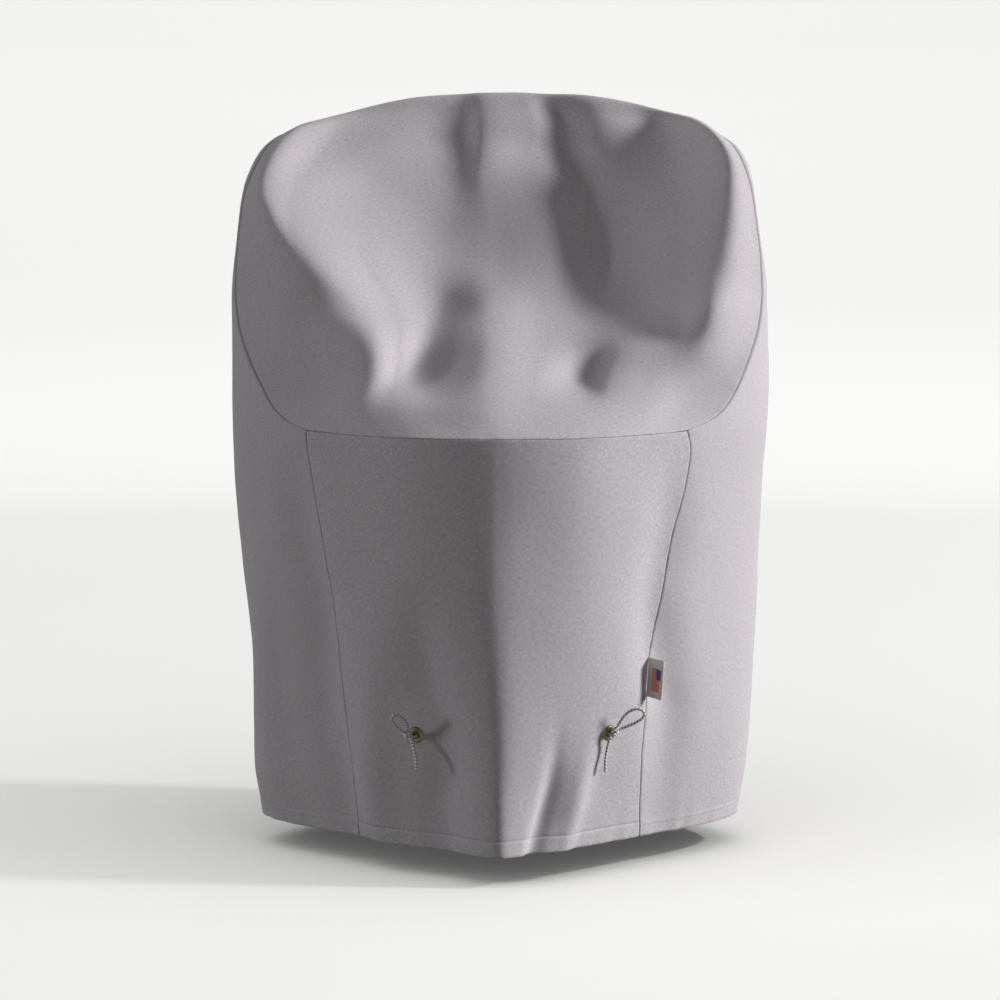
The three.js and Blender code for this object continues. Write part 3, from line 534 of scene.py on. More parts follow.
# Braided polyester cord: bright, slightly shiny filament, with one dark tracer strand that comes up as
# flecks where it winds over the white ones.
cord_braid, tree, shader = new_material("braided_polyester_cord")
cord_uv = add_node(tree, "ShaderNodeUVMap").outputs["UV"]
spot = add_node(tree, "ShaderNodeSeparateXYZ", {0: cord_uv})
turn = add_node(tree, "ShaderNodeMath", {0: spot.outputs["X"], 1: 2 * math.pi}, operation="MULTIPLY")
climb = add_node(tree, "ShaderNodeMath", {0: spot.outputs["Y"], 1: 2 * math.pi / BRAID["pitch"]},
                 operation="MULTIPLY")
tracer_at = add_node(tree, "ShaderNodeMath", {0: turn.outputs[0], 1: climb.outputs[0]}, operation="ADD")
tracer = add_node(tree, "ShaderNodeMath", {0: tracer_at.outputs[0]}, operation="COSINE")
fleck = add_node(tree, "ShaderNodeMapRange",
                 {"Value": tracer.outputs[0], "From Min": 0.55, "From Max": 0.85})
fibre = add_node(tree, "ShaderNodeTexNoise", {"Vector": cord_uv, "Scale": 3.0})
white = add_node(tree, "ShaderNodeMix", {0: fibre.outputs["Fac"], 6: linear("#e9e7e4"),
                                         7: linear("#fbfaf8")}, data_type="RGBA")
colour = add_node(tree, "ShaderNodeMix", {0: fleck.outputs["Result"], 6: white.outputs[2],
                                          7: linear("#4a494c")}, data_type="RGBA")
tree.links.new(colour.outputs[2], shader.inputs["Base Color"])
shader.inputs["Roughness"].default_value = 0.6
shader.inputs["Sheen Weight"].default_value = 0.15

for side, hand in ((1, "right"), (-1, "left")):
    axes = wall_axes(side, *EYELET_PLACES[hand])
    knot = on_axes(axes, *KNOTS[hand])
    loop = [on_axes(axes, *p) for p in LOOPS[hand]]
    tail = [on_axes(axes, *p) for p in TAILS[hand]]
    route = [on_axes(axes, *ROOT), on_axes(axes, *MOUTH), knot, *loop, knot, *tail]
    cord, path = braided_tube(f"tie_{hand}_cord", route, CORD_DIAMETER / 2)
    cord.data.materials.append(cord_braid)
    lead = (loop[0] + loop[-1] - knot * 2).normalized()
    first = lead.orthogonal().normalized()
    second = lead.cross(first)
    coil = []
    for k in range(WRAP["places"]):
        angle = 2 * math.pi * k / WRAP["per_turn"]
        reach = WRAP["reach"] if 1 < k < WRAP["places"] - 2 else WRAP["tucked"]
        forward = (k / (WRAP["places"] - 1) - 0.5) * WRAP["long"]
        coil.append(knot + lead * forward + (first * math.cos(angle) + second * math.sin(angle)) * reach)
    wrap, _ = braided_tube(f"tie_{hand}_wrap", coil, CORD_DIAMETER / 2 * WRAP["thick"])
    wrap.data.materials.append(cord_braid)
    for piece in (cord, wrap):
        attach(piece, "root")
    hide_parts(f"tie_{hand}_stem", f"tie_{hand}_loop", f"tie_{hand}_tail")
    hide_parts(f"tie_{hand}_knot")

# Eyelets. Stamped brass, each a rolled flange and a barrel clinched over a washer behind the cloth,
# dulled to olive by age and handling.
EYELET = {"outer": 9.0, "hole": 3.6, "barrel": 4.6, "washer": 8.0, "back": -3.2, "sheet": 0.8,
          "fit": 0.3}
washer_front = EYELET["back"] + EYELET["sheet"]
# up the barrel, over its lip, out to the flange's rolled edge and back under it to the washer
eyelet_profile = [(EYELET["hole"], EYELET["back"]), (EYELET["hole"], 0.9)]
for k in range(1, 6):
    angle = math.pi / 2 * k / 5
    eyelet_profile.append((EYELET["hole"] + 1.4 * math.sin(angle) ** 2, 0.9 + 1.0 * math.sin(angle)))
for k in range(1, 8):
    angle = math.pi * k / 7
    eyelet_profile.append((EYELET["outer"] - 2.2 + 2.2 * math.sin(angle / 2) ** 1.2,
                           1.15 + 0.75 * math.cos(angle)))
eyelet_profile += [(EYELET["barrel"], 0.35), (EYELET["barrel"], washer_front),
                   (EYELET["washer"], washer_front), (EYELET["washer"], EYELET["back"]),
                   (EYELET["hole"], EYELET["back"])]

# Aged brass: a dull olive metal, with a blotchy patina that breaks up its highlights.
brass, tree, shader = new_material("aged_brass")
where = add_node(tree, "ShaderNodeTexCoord").outputs["Object"]
patina = add_node(tree, "ShaderNodeTexNoise", {"Vector": where, "Scale": 0.42 / MM, "Detail": 4.0})
tone = add_node(tree, "ShaderNodeMix", {0: patina.outputs["Fac"], 6: linear("#4a4529"),
                                        7: linear("#7b7141")}, data_type="RGBA")
dull = add_node(tree, "ShaderNodeMapRange",
                {"Value": patina.outputs["Fac"], "To Min": 0.32, "To Max": 0.55})
tree.links.new(tone.outputs[2], shader.inputs["Base Color"])
tree.links.new(dull.outputs["Result"], shader.inputs["Roughness"])
shader.inputs["Metallic"].default_value = 1.0

for side, hand in ((1, "right"), (-1, "left")):
    axes = wall_axes(side, *EYELET_PLACES[hand])
    eyelet = turned(f"eyelet_{hand}_ring", [(r * MM, z * MM) for r, z in eyelet_profile], 48)
    seat = Matrix((axes[1], axes[2] * side, axes[3])).transposed().to_4x4()
    seat.translation = in_frame(axes[0])
    eyelet.data.transform(seat)
    eyelet.data.materials.append(brass)
    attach(eyelet, "root")
    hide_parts(f"eyelet_{hand}")

# Cloth. A plain-woven, solution-dyed polyester of warm lilac grey, about 0.8 mm thick with its
# coating. Warp and weft are slightly uneven, which gives the faint cross-hatch that shows from near.
cloth, tree, shader = new_material("woven_polyester_cloth")
THREAD = 1.5 * MM                        # drawn three times as coarse as the real thread, so that it shows
weave_uv = add_node(tree, "ShaderNodeUVMap").outputs["UV"]
flat = add_node(tree, "ShaderNodeSeparateXYZ", {0: weave_uv})
waves = []
for axis in ("X", "Y"):
    phase = add_node(tree, "ShaderNodeMath", {0: flat.outputs[axis], 1: math.pi / THREAD},
                     operation="MULTIPLY")
    waves.append(add_node(tree, "ShaderNodeMath", {0: phase.outputs[0]}, operation="SINE").outputs[0])
over = add_node(tree, "ShaderNodeMath", {0: waves[0], 1: waves[1]}, operation="MULTIPLY")
weave = add_node(tree, "ShaderNodeMapRange", {"Value": over.outputs[0], "From Min": -1, "From Max": 1})
# uneven places in the weft, then in the warp, as how many there are to a mm across and up the cloth
streaks = []
for across, up in ((0.2, 1.1), (1.1, 0.24)):
    stretched = add_node(tree, "ShaderNodeMapping",
                         {"Vector": weave_uv, "Scale": (across / MM, up / MM, 1)})
    streaks.append(add_node(tree, "ShaderNodeTexNoise", {"Vector": stretched.outputs[0], "Scale": 1.0,
                                                         "Detail": 2.0}).outputs["Fac"])
slub = add_node(tree, "ShaderNodeMath", {0: streaks[0], 1: streaks[1]}, operation="ADD")
shade = add_node(tree, "ShaderNodeMapRange",
                 {"Value": slub.outputs[0], "From Min": 0.75, "From Max": 1.25})
dyed = add_node(tree, "ShaderNodeMix", {0: shade.outputs["Result"], 6: linear("#bfb9bf"),
                                        7: linear("#e7e2e6")}, data_type="RGBA")
thread = add_node(tree, "ShaderNodeMix", {0: weave.outputs["Result"], 6: linear("#e9e7e8"),
                                          7: linear("#ffffff")}, data_type="RGBA")
woven = add_node(tree, "ShaderNodeMix", {0: 1.0, 6: dyed.outputs[2], 7: thread.outputs[2]},
                 data_type="RGBA", blend_type="MULTIPLY")
# painted shade: a seam's dip is darkened in the colour, towards a near-black grey, to stand in for the
# shade that falls into it
painted_seam_shade = add_node(tree, "ShaderNodeAttribute", attribute_name="painted_seam_shade").outputs["Fac"]
painted_seam_darkness = add_node(tree, "ShaderNodeMath", {0: painted_seam_shade, 1: 0.8}, operation="MULTIPLY").outputs[0]
colour = add_node(tree, "ShaderNodeMix", {0: painted_seam_darkness, 6: woven.outputs[2], 7: linear("#3a383b")},
                  data_type="RGBA")
relief = add_node(tree, "ShaderNodeMath", {0: slub.outputs[0], 1: over.outputs[0]}, operation="ADD")
bump = add_node(tree, "ShaderNodeBump",
                {"Height": relief.outputs[0], "Strength": 0.25, "Distance": 0.15 * MM})
tree.links.new(colour.outputs[2], shader.inputs["Base Color"])
tree.links.new(bump.outputs["Normal"], shader.inputs["Normal"])
shader.inputs["Roughness"].default_value = 0.92
shader.inputs["Specular IOR Level"].default_value = 0.25
shader.inputs["Sheen Weight"].default_value = 0.08

# All in mm. The cloth dips into its seams and into the hem's stitches, puckers beside them and waves
# a little all over. A dip is its depth and half width, a pucker its height, its reach and its size.
CLOTH = 1.0
HEM_DEPTH = 18
HEM_THICK = 2.2
HEM_PROUD = 0.35
SEAM_GAP = 0.04
SEAM_DIP = (0.9, 1.1)
# mm: half width of the painted shade that darkens a seam's dip
SEAM_SHADE = 0.65
SEAM_PUCKER = (0.7, 12, 11)
STITCH_DIP = (0.7, 1.1)
HEM_EDGE_DIP = (0.8, 0.8)
HEM_PUCKER = (1.6, 26, 19)
BROAD_WAVE = (0.8, 75)
SMALL_WAVE = (0.2, 24)
# distances from a seam or a hem at which a panel has mesh lines
SEAM_STEPS = (0, 0.7, 1.5, 2.4, 3.6, 5.4, 8)
HEM_STEPS = (0, 0.6, 1.6, 4, 9, 14, 16.2, 17.1, 18, 18.9, 19.8, 22, 26)


def stations(length, step, low, high):
    """Shares of a length at which a panel has mesh lines, close together beside its seams and hem."""
    first, last = low[-1], length - high[-1]
    count = max(1, round((last - first) / step))
    middle = [first + (last - first) * k / count for k in range(1, count)]
    places = list(low) + middle + [length - d for d in reversed(high)]
    return [p / length for p in places]


def edge_distances(points):
    """Distances of a line's points from its two ends."""
    gone = [0.0]
    for a, b in zip(points, points[1:]):
        gone.append(gone[-1] + (b - a).length)
    return gone, [gone[-1] - d for d in gone]


def dip(far, depth, half_width):
    return depth * math.exp(-(far / half_width) ** 2)


def pucker(far, point, height, reach, size):
    return height * math.exp(-far / reach) * noise.noise(point / size)


def cloth_panel(name, grid, low, high, left, right):
    """Makes one panel from its grid of outer points. Each edge is a seam or a hem."""
    rows, count = len(grid), len(grid[0])
    row_far = [edge_distances(row) for row in grid]
    column_far = [edge_distances([row[i] for row in grid]) for i in range(count)]
    outer = []
    hem_far = {}
    painted_shade_share = {}
    for j in range(rows):
        line = []
        for i in range(count):
            p = grid[j][i]
            along = grid[j][min(i + 1, count - 1)] - grid[j][max(i - 1, 0)]
            up = grid[min(j + 1, rows - 1)][i] - grid[max(j - 1, 0)][i]
            out = (BROAD_WAVE[0] * noise.noise(p / BROAD_WAVE[1] + Vector((3, 8, 1)))
                   + SMALL_WAVE[0] * noise.noise(p / SMALL_WAVE[1]))
            painted_shade_share[j, i] = 0.0
            for kind, far in ((low, column_far[i][0][j]), (high, column_far[i][1][j]),
                              (left, row_far[j][0][i]), (right, row_far[j][1][i])):
                if kind == "seam":
                    out += pucker(far, p, *SEAM_PUCKER) - dip(far, *SEAM_DIP)
                    # painted shade: strongest right at a seam, fading within a mm or so of it
                    painted_shade_share[j, i] = max(painted_shade_share[j, i], dip(far, 1, SEAM_SHADE))
                else:
                    hem_far[j, i] = far
                    out += HEM_PROUD * (1 - smooth_step((far - HEM_DEPTH + 2) / 4))
                    out -= dip(far - HEM_DEPTH, *STITCH_DIP) + dip(far, *HEM_EDGE_DIP)
                    out += pucker(far, Vector((p.x, p.y, 0)), *HEM_PUCKER)
            line.append(p + along.cross(up).normalized() * out)
        outer.append(line)
    # the panels stand a hair apart at their seams
    for kind, j, step in ((low, 0, 1), (high, rows - 1, -1)):
        if kind == "seam":
            for i in range(count):
                outer[j][i] += (grid[j + step][i] - grid[j][i]).normalized() * SEAM_GAP / 2
    for kind, i, step in ((left, 0, 1), (right, count - 1, -1)):
        if kind == "seam":
            for j in range(rows):
                outer[j][i] += (grid[j][i + step] - grid[j][i]).normalized() * SEAM_GAP / 2

    middle = count // 2
    panel, cells = fitted_grid(name, [
        [(outer[j][i], ((row_far[j][0][i] - row_far[j][0][middle]) * MM, column_far[middle][0][j] * MM))
         for i in range(count)] for j in range(rows)])
    # how much painted shade each point of the panel carries, for the cloth's colour
    painted_seam_shade = panel.data.attributes.new("painted_seam_shade", "FLOAT", "POINT").data
    for k, cell in enumerate(cells):
        painted_seam_shade[k].value = painted_shade_share[cell]
    # the hem is turned up twice, so it is the thicker part
    turned_up = panel.vertex_groups.new(name="turned_up")
    for k, cell in enumerate(cells):
        if cell in hem_far:
            turned_up.add([k], 1 - smooth_step((hem_far[cell] - HEM_DEPTH + 1.5) / 2), "REPLACE")
    bpy.ops.object.modifier_add(type="SOLIDIFY")
    wall = panel.modifiers[-1]
    wall.thickness = HEM_THICK * MM
    wall.offset = -1
    wall.use_even_offset = False
    wall.vertex_group = "turned_up"
    wall.thickness_vertex_group = CLOTH / HEM_THICK
    bpy.ops.object.modifier_apply(modifier=wall.name)
    panel.vertex_groups.clear()
    bpy.ops.object.shade_smooth_by_angle(angle=math.radians(50))
    panel.data.materials.append(cloth)
    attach(panel, "root")
    return panel, outer


# Lap and back. One long strip starts at the front cross seam, hangs in two basins and a middle ridge
# over the lap, goes over the top edge of the back and down to the hem behind.
CROSS_SEAM = {"middle": 482.5, "end": 486.5, "reach": 210}
CROSS_SEAM_X = (-214, -170, -135, -110, -75, -14, 35, 80, 115, 150, 185, 207)
# Height in the middle and at the ends, then x and y of the left rim, the left crest, the left dish, the
# left trough, the middle ridge, its right shoulder, the right trough, the right slope's crest and hollow,
# and the right rim.
LAP_SECTIONS = (
    (512, 509, -200, -142, -156, -180, -120, -194, -80, -206, -14, -226,
     35, -212, 88, -192, 122, -180, 165, -158, 203, -130),
    (545, 541, -205, -112, -142, -154, -114, -136, -86, -122, -16, -160,
     40, -138, 96, -100, 122, -122, 170, -116, 218, -98),
    (584, 578, -225, -80, -144, -126, -112, -100, -78, -72, -14, -104,
     50, -80, 105, -64, 145, -74, 190, -78, 230, -82),
    (625, 620, -230, -58, -172, -72, -122, -38, -70, -8, -12, -30,
     50, -12, 112, 10, 155, 4, 200, -28, 240, -66),
    (670, 665, -245, -32, -210, -44, -150, -8, -75, 30, -10, 34,
     50, 42, 108, 78, 150, 54, 205, 16, 256, -18),
    (720, 715, -262, 2, -238, 6, -160, 50, -70, 84, -8, 82,
     46, 88, 98, 122, 146, 104, 210, 60, 266, 18),
    (770, 760, -278, 48, -236, 70, -154, 112, -54, 133, -20, 125,
     40, 136, 88, 162, 136, 144, 210, 110, 270, 50),
    (815, 797, -268, 86, -212, 124, -132, 148, -46, 169, -20, 159,
     36, 172, 78, 184, 124, 166, 204, 152, 268, 76),
    (855, 823, -242, 130, -184, 164, -122, 178, -46, 189, -20, 180,
     36, 189, 68, 199, 118, 186, 196, 186, 248, 114),
)
RIM_SPREAD = 290
TOP_EDGE = ((-254, 190, PEAK_Z), (-228, 193, 842.5), (-168, 200, 862), (-110, 202, 875.5),
            (-46, 206, 881), (-20, 203, 882.5), (20, 205, 882.5), (52, 207, 881),
            (112, 202, 878.5), (186, 201, 864), (232, 193, 849.5), (258, 190, PEAK_Z))
TOP_ROLL = {"back": 22, "drop": 9, "narrower": 0.99, "end": 824}
BACK_ROWS = ((835, 815), (780, 770), (700, 695), (560, 560), (400, 400), (200, 200), (HEM_Z, HEM_Z))
LAST = len(CROSS_SEAM_X) - 1


def cross_seam_z(x):
    middle, end = CROSS_SEAM["middle"], CROSS_SEAM["end"]
    return middle + (end - middle) * min(1, abs(x) / CROSS_SEAM["reach"]) ** 3


def strip_sections():
    """Each section is the height of its ends and its twelve guide points."""
    cross = []
    for x in CROSS_SEAM_X:
        side = 1 if x > read(PROW, "x", CORNER_Z) else -1
        z = CORNER_Z if x in (CROSS_SEAM_X[0], CROSS_SEAM_X[-1]) else cross_seam_z(x)
        cross.append(wall_point(side, place_at(side, side * x, z, False), z))
    sections = [(CORNER_Z, cross)]
    for middle_z, end_z, *places in LAP_SECTIONS:
        points = []
        for x, y in zip(places[::2], places[1::2]):
            high = 1 - min(1, abs(x) / RIM_SPREAD) ** 3
            points.append(Vector((x, y, end_z + (middle_z - end_z) * high)))
        sections.append((end_z, [None, *points, None]))
    top = [Vector(p) for p in TOP_EDGE]
    sections.append((PEAK_Z, top))
    sections.append((TOP_ROLL["end"], [Vector((p.x * TOP_ROLL["narrower"], p.y + TOP_ROLL["back"],
                                               p.z - TOP_ROLL["drop"])) for p in top]))
    for middle_z, end_z in BACK_ROWS:
        points = []
        for k in range(LAST + 1):
            share = 2 * k / LAST - 1
            side = 1 if share > 0 else -1
            z = middle_z + (end_z - middle_z) * abs(share) ** 3
            held = min(z, PEAK_Z)
            x = abs(share) * read(BACK_SEAM, side_name(side), end_z)
            p = wall_point(side, place_at(side, x, held, True), held)
            points.append(Vector((p.x, p.y, z)))
        sections.append((end_z, points))
    return sections


SECTIONS = strip_sections()
TOP_INDEX = 1 + len(LAP_SECTIONS)
END_HEIGHTS = [Vector((0, 0, end_z)) for end_z, _ in SECTIONS]


def strip_line(t):
    """The strip's twelve guide points at t sections from the cross seam; the end ones lie on its seams."""
    z = min(through(END_HEIGHTS, t).z, PEAK_Z)
    on_back = t > TOP_INDEX
    seam = BACK_SEAM if on_back else LAP_SEAM
    points = []
    for k in range(LAST + 1):
        if 0 < k < LAST:
            points.append(through([guides[k] for _, guides in SECTIONS], t))
        elif abs(t - TOP_INDEX) < 1e-6:
            points.append(SECTIONS[TOP_INDEX][1][k])
        else:
            side = 1 if k else -1
            points.append(wall_point(side, seam_place(seam, side, z, on_back), z))
    return points


# mm from the cross seam to the first section, from the last but one to the hem, and between the two
# guide points beside each long edge
LAP_SPAN, HEM_SPAN, EDGE_SPAN = 33, 167, 60
LAP_LINES = 15                           # mesh lines between two sections, and between two guide points
BACK_LINES = (6, 8, 10, 10, 16, 18, 22, 18)
strip_along = [d / LAP_SPAN for d in SEAM_STEPS]
seam_end = strip_along[-1] + 0.04
for k in range(1, TOP_INDEX * LAP_LINES):
    if k / LAP_LINES > seam_end:
        strip_along.append(k / LAP_LINES)
bottom = len(SECTIONS) - 1
for k, lines in enumerate(BACK_LINES):
    for n in range(lines):
        t = TOP_INDEX + k + n / lines
        if t < bottom - HEM_STEPS[-1] / HEM_SPAN - 0.03:
            strip_along.append(t)
strip_along += [bottom - d / HEM_SPAN for d in reversed(HEM_STEPS)]
strip_across = [d / EDGE_SPAN for d in SEAM_STEPS]
edge_end = 0.18
for k in range(1, LAST * LAP_LINES):
    if edge_end < k / LAP_LINES < LAST - edge_end:
        strip_across.append(k / LAP_LINES)
strip_across += [LAST - d / EDGE_SPAN for d in reversed(SEAM_STEPS)]
strip_grid = []
for t in strip_along:
    guides = strip_line(t)
    strip_grid.append([through(guides, s) for s in strip_across])
strip, strip_outer = cloth_panel("lap_and_back_cloth", strip_grid, "seam", "hem", "seam", "seam")
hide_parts("lap_and_back_panel")

# Front panel. It hangs from the cross seam between the two front seams and is creased softly down
# its middle; the two eyelets are set in it near the hem.
FRONT = {"across": 460, "step": 3.6}     # mm round the panel at its top, and between its mesh lines
front_along = stations(CORNER_Z - HEM_Z, FRONT["step"], HEM_STEPS, SEAM_STEPS)
front_across = stations(FRONT["across"], FRONT["step"], SEAM_STEPS, SEAM_STEPS)
top_xs = [through(SECTIONS[0][1], s * LAST).x for s in front_across]
top_prow = read(PROW, "x", CORNER_Z)
front_grid = []
for q in front_along:
    line = []
    for k, x_top in enumerate(top_xs):
        side = 1 if x_top > top_prow else -1
        z_top = CORNER_Z if k in (0, len(top_xs) - 1) else cross_seam_z(x_top)
        z = HEM_Z + (z_top - HEM_Z) * q
        seam = read(FRONT_SEAM, side_name(side), z)
        corner = read(FRONT_SEAM, side_name(side), CORNER_Z)
        share = side * (x_top - top_prow) / (corner - side * top_prow)
        prow = side * read(PROW, "x", z)
        line.append(wall_point(side, place_at(side, prow + share * (seam - prow), z, False), z))
    front_grid.append(line)
front, front_outer = cloth_panel("front_cloth", front_grid, "hem", "seam", "seam", "seam")
bpy.ops.object.select_all(action="DESELECT")
for side, hand in ((1, "right"), (-1, "left")):
    axes = wall_axes(side, *EYELET_PLACES[hand])
    bpy.ops.mesh.primitive_cylinder_add(vertices=32, radius=(EYELET["barrel"] + EYELET["fit"]) * MM,
                                        depth=12 * MM, location=in_frame(axes[0]))
    punch = bpy.context.object
    punch.rotation_mode = "QUATERNION"
    punch.rotation_quaternion = axes[3].to_track_quat("Z", "Y")
    bpy.ops.object.select_all(action="DESELECT")
    bpy.context.view_layer.objects.active = front
    front.select_set(True)
    bpy.ops.object.modifier_add(type="BOOLEAN")
    cut = front.modifiers[-1]
    cut.operation = "DIFFERENCE"
    cut.solver = "EXACT"
    cut.object = punch
    bpy.ops.object.modifier_apply(modifier=cut.name)
    bpy.data.objects.remove(punch)
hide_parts("front_panel")

# Side panels. Each is one piece of the same cloth that fills the wall from its front seam round to its
# back seam, and runs up under the lap's seam to a point on the shoulder.
SIDE = {"across": 460, "up": 640, "step": 4.6}    # mm, rough sizes that space its mesh lines


def seam_heights(side, count=240):
    """The lap seam's heights at equal steps of its length."""
    zs = [CORNER_Z + (PEAK_Z - CORNER_Z) * k / count for k in range(count + 1)]
    points = [wall_point(side, 1 if z == PEAK_Z else seam_place(LAP_SEAM, side, z), z) for z in zs]
    return zs, edge_distances(points)[0]


def side_grid(side):
    """The panel's outer points, blended from its four edges; each edge is a place and a height."""
    zs, gone = seam_heights(side)
    across = stations(SIDE["across"], SIDE["step"], SEAM_STEPS, SEAM_STEPS)
    along = stations(SIDE["up"], SIDE["step"], HEM_STEPS, SEAM_STEPS)

    def lap_z(p):
        goal, k = p * gone[-1], 0
        while k < len(gone) - 2 and gone[k + 1] < goal:
            k += 1
        return zs[k] + (zs[k + 1] - zs[k]) * (goal - gone[k]) / (gone[k + 1] - gone[k])

    peak = (1.0, PEAK_Z)
    front_foot = (seam_place(FRONT_SEAM, side, HEM_Z), HEM_Z)
    back_foot = (seam_place(BACK_SEAM, side, HEM_Z, True), HEM_Z)
    top = [peak if p == 1 else (seam_place(LAP_SEAM, side, lap_z(p)), lap_z(p)) for p in across]
    grid = []
    for q in along:
        z_front = HEM_Z + (CORNER_Z - HEM_Z) * q
        z_back = HEM_Z + (PEAK_Z - HEM_Z) * q
        front_end = (seam_place(FRONT_SEAM, side, z_front), z_front)
        back_end = peak if q == 1 else (seam_place(BACK_SEAM, side, z_back, True), z_back)
        line = []
        for p, head in zip(across, top):
            foot = (front_foot[0] + (back_foot[0] - front_foot[0]) * p, HEM_Z)
            blend = [(1 - q) * foot[k] + q * head[k] + (1 - p) * front_end[k] + p * back_end[k]
                     - (1 - p) * (1 - q) * front_foot[k] - p * (1 - q) * back_foot[k]
                     - (1 - p) * q * top[0][k] - p * q * top[-1][k] for k in (0, 1)]
            line.append(wall_point(side, *blend))
        grid.append(line if side > 0 else line[::-1])
    return grid


side_outers = {}
for side, hand in ((1, "right"), (-1, "left")):
    panel, side_outers[hand] = cloth_panel(f"side_cloth_{hand}", side_grid(side),
                                           "hem", "seam", "seam", "seam")
    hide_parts(f"side_panel_{hand}")

# Hem stitches. One row of lockstitch 18 mm up all round, in grey polyester thread a little darker than
# the cloth; each stitch is sunk in the cloth at its two ends.
STITCH = {"pitch": 3.4, "length": 2.5, "thick": 0.55, "proud": 0.1}
bpy.ops.object.select_all(action="DESELECT")
bpy.ops.mesh.primitive_ico_sphere_add(subdivisions=1, radius=MM / 2, location=(0, 0, 0))
bpy.ops.object.mode_set(mode="EDIT")
bpy.ops.transform.resize(value=(STITCH["length"], STITCH["thick"], STITCH["thick"]))
bpy.ops.object.mode_set(mode="OBJECT")
model = bpy.context.object
hem_row = HEM_STEPS.index(HEM_DEPTH)
hem_lines = [outer[hem_row:hem_row + 2] for outer in (front_outer, *side_outers.values())]
hem_lines.append(strip_outer[-1 - hem_row:][:2])
copies = []
for line, above in hem_lines:
    gone = edge_distances(line)[0]
    count = int(gone[-1] / STITCH["pitch"])
    for n in range(count):
        goal, k = (n + 0.5) * gone[-1] / count, 0
        while gone[k + 1] < goal:
            k += 1
        along = (line[k + 1] - line[k]).normalized()
        out = along.cross(above[k] - line[k]).normalized()
        centre = line[k].lerp(line[k + 1], (goal - gone[k]) / (gone[k + 1] - gone[k]))
        place = Matrix((along, out.cross(along), out)).transposed().to_4x4()
        place.translation = in_frame(centre + out * STITCH["proud"])
        stitch = model.copy()
        stitch.data = model.data.copy()
        stitch.data.transform(place)
        bpy.context.collection.objects.link(stitch)
        copies.append(stitch)
bpy.data.objects.remove(model)
bpy.ops.object.select_all(action="DESELECT")
for stitch in copies:
    stitch.select_set(True)
bpy.context.view_layer.objects.active = copies[0]
bpy.ops.object.join()
stitches = bpy.context.object
stitches.name = stitches.data.name = "hem_stitches"

# Polyester sewing thread: matt and twisted, so that its grey breaks up into light and dark along it.
thread_grey, tree, shader = new_material("polyester_thread")
where = add_node(tree, "ShaderNodeTexCoord").outputs["Object"]
fibre = add_node(tree, "ShaderNodeTexNoise", {"Vector": where, "Scale": 0.9 / MM})
tone = add_node(tree, "ShaderNodeMix", {0: fibre.outputs["Fac"], 6: linear("#6d696c"),
                                        7: linear("#948f93")}, data_type="RGBA")
tree.links.new(tone.outputs[2], shader.inputs["Base Color"])
shader.inputs["Roughness"].default_value = 0.7
stitches.data.materials.append(thread_grey)
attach(stitches, "root")

# Label. A short satin ribbon folded once, its two ends caught in the right front seam, so that it
# stands out from the cover. A plain two-colour flag is printed on the side towards the front corner.
LABEL = {"height": 43, "reach": 20, "flat": 41, "gap": 0.8, "start": 0.4, "middle_z": 216, "droop": 3,
         "curl": 0.9, "thick": 0.35, "rows": 12}
low_z, high_z = (LABEL["middle_z"] + LABEL["height"] * half for half in (-0.5, 0.5))
foot, head = (wall_point(1, seam_place(FRONT_SEAM, 1, z), z) for z in (low_z, high_z))
axes = wall_axes(1, read(FRONT_SEAM, "right", LABEL["middle_z"]), LABEL["middle_z"])
up = (head - foot).normalized()
out = axes[3] - up * LABEL["droop"] / LABEL["reach"]
across = up.cross(axes[3])
fold, straight = LABEL["gap"], LABEL["reach"] - LABEL["gap"]
section = [(LABEL["start"] + (straight - LABEL["start"]) * k / 8, -fold) for k in range(9)]
section += [(straight + fold * math.sin(math.pi * k / 8), -fold * math.cos(math.pi * k / 8))
            for k in range(1, 8)]
section += [(x, fold) for x, _ in reversed(section[:9])]
gone = edge_distances([Vector((x, y, 0)) for x, y in section])[0]
ribbon_rows = []
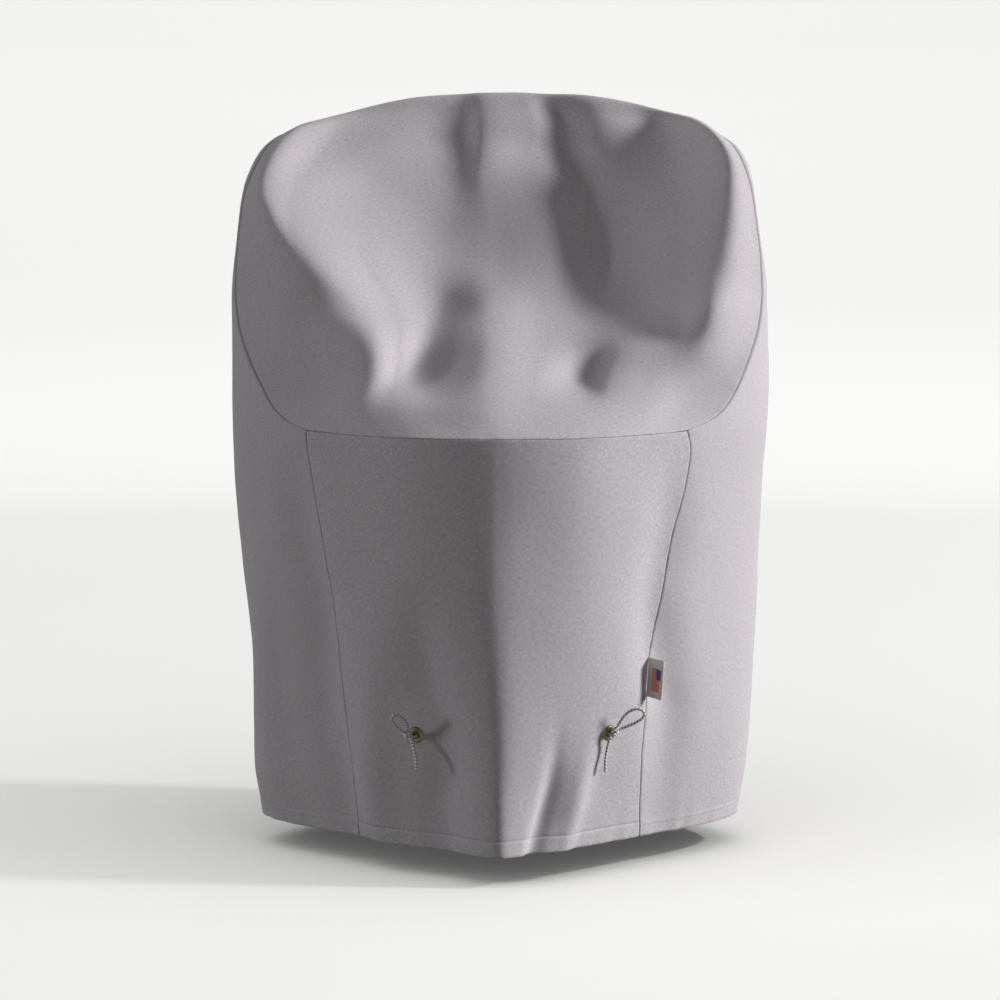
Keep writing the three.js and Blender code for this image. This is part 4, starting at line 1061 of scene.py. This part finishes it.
for j in range(LABEL["rows"] + 1):
    share = j / LABEL["rows"]
    row = []
    for (x, y), run in zip(section, gone):
        curl = LABEL["curl"] * math.sin(math.pi * share) * (x / LABEL["reach"]) ** 2
        row.append((foot + up * LABEL["height"] * share + out * x + across * (y + curl),
                    (run / LABEL["reach"], share)))
    ribbon_rows.append(row)
label, _ = fitted_grid("folded_label", ribbon_rows)
bpy.ops.object.modifier_add(type="SOLIDIFY")
label.modifiers[-1].thickness = LABEL["thick"] * MM
label.modifiers[-1].offset = 0
bpy.ops.object.modifier_apply(modifier=label.modifiers[-1].name)
bpy.ops.object.shade_smooth_by_angle(angle=math.radians(50))

# Satin ribbon: fine shiny filament, off-white, with the faint lines of its warp.
ribbon, tree, shader = new_material("satin_ribbon")
ribbon_uv = add_node(tree, "ShaderNodeUVMap").outputs["UV"]
spot = add_node(tree, "ShaderNodeSeparateXYZ", {0: ribbon_uv})


def inside(low_u, high_u, low_v, high_v):
    """One where the ribbon's place lies in a printed rectangle."""
    within = []
    for socket, low, high in (("X", low_u, high_u), ("Y", low_v, high_v)):
        within.append(add_node(tree, "ShaderNodeMath", {
            0: spot.outputs[socket], 1: (low + high) / 2, 2: (high - low) / 2}, operation="COMPARE"))
    return add_node(tree, "ShaderNodeMath", {0: within[0].outputs[0], 1: within[1].outputs[0]},
                    operation="MULTIPLY").outputs[0]


warp = add_node(tree, "ShaderNodeMapping", {"Vector": ribbon_uv, "Scale": (6, 160, 1)}).outputs[0]
satin = add_node(tree, "ShaderNodeTexNoise", {"Vector": warp, "Scale": 1.0})
ground = add_node(tree, "ShaderNodeMix", {0: satin.outputs["Fac"], 6: linear("#cfcdcb"),
                                          7: linear("#e9e7e5")}, data_type="RGBA")
field = add_node(tree, "ShaderNodeMix", {0: inside(0.28, 0.76, 0.17, 0.76), 6: ground.outputs[2],
                                         7: linear("#e0896a")}, data_type="RGBA")
canton = add_node(tree, "ShaderNodeMix", {0: inside(0.54, 0.84, 0.48, 0.74), 6: field.outputs[2],
                                          7: linear("#4a4a86")}, data_type="RGBA")
tree.links.new(canton.outputs[2], shader.inputs["Base Color"])
shader.inputs["Roughness"].default_value = 0.55
label.data.materials.append(ribbon)
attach(label, "root")
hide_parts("label")
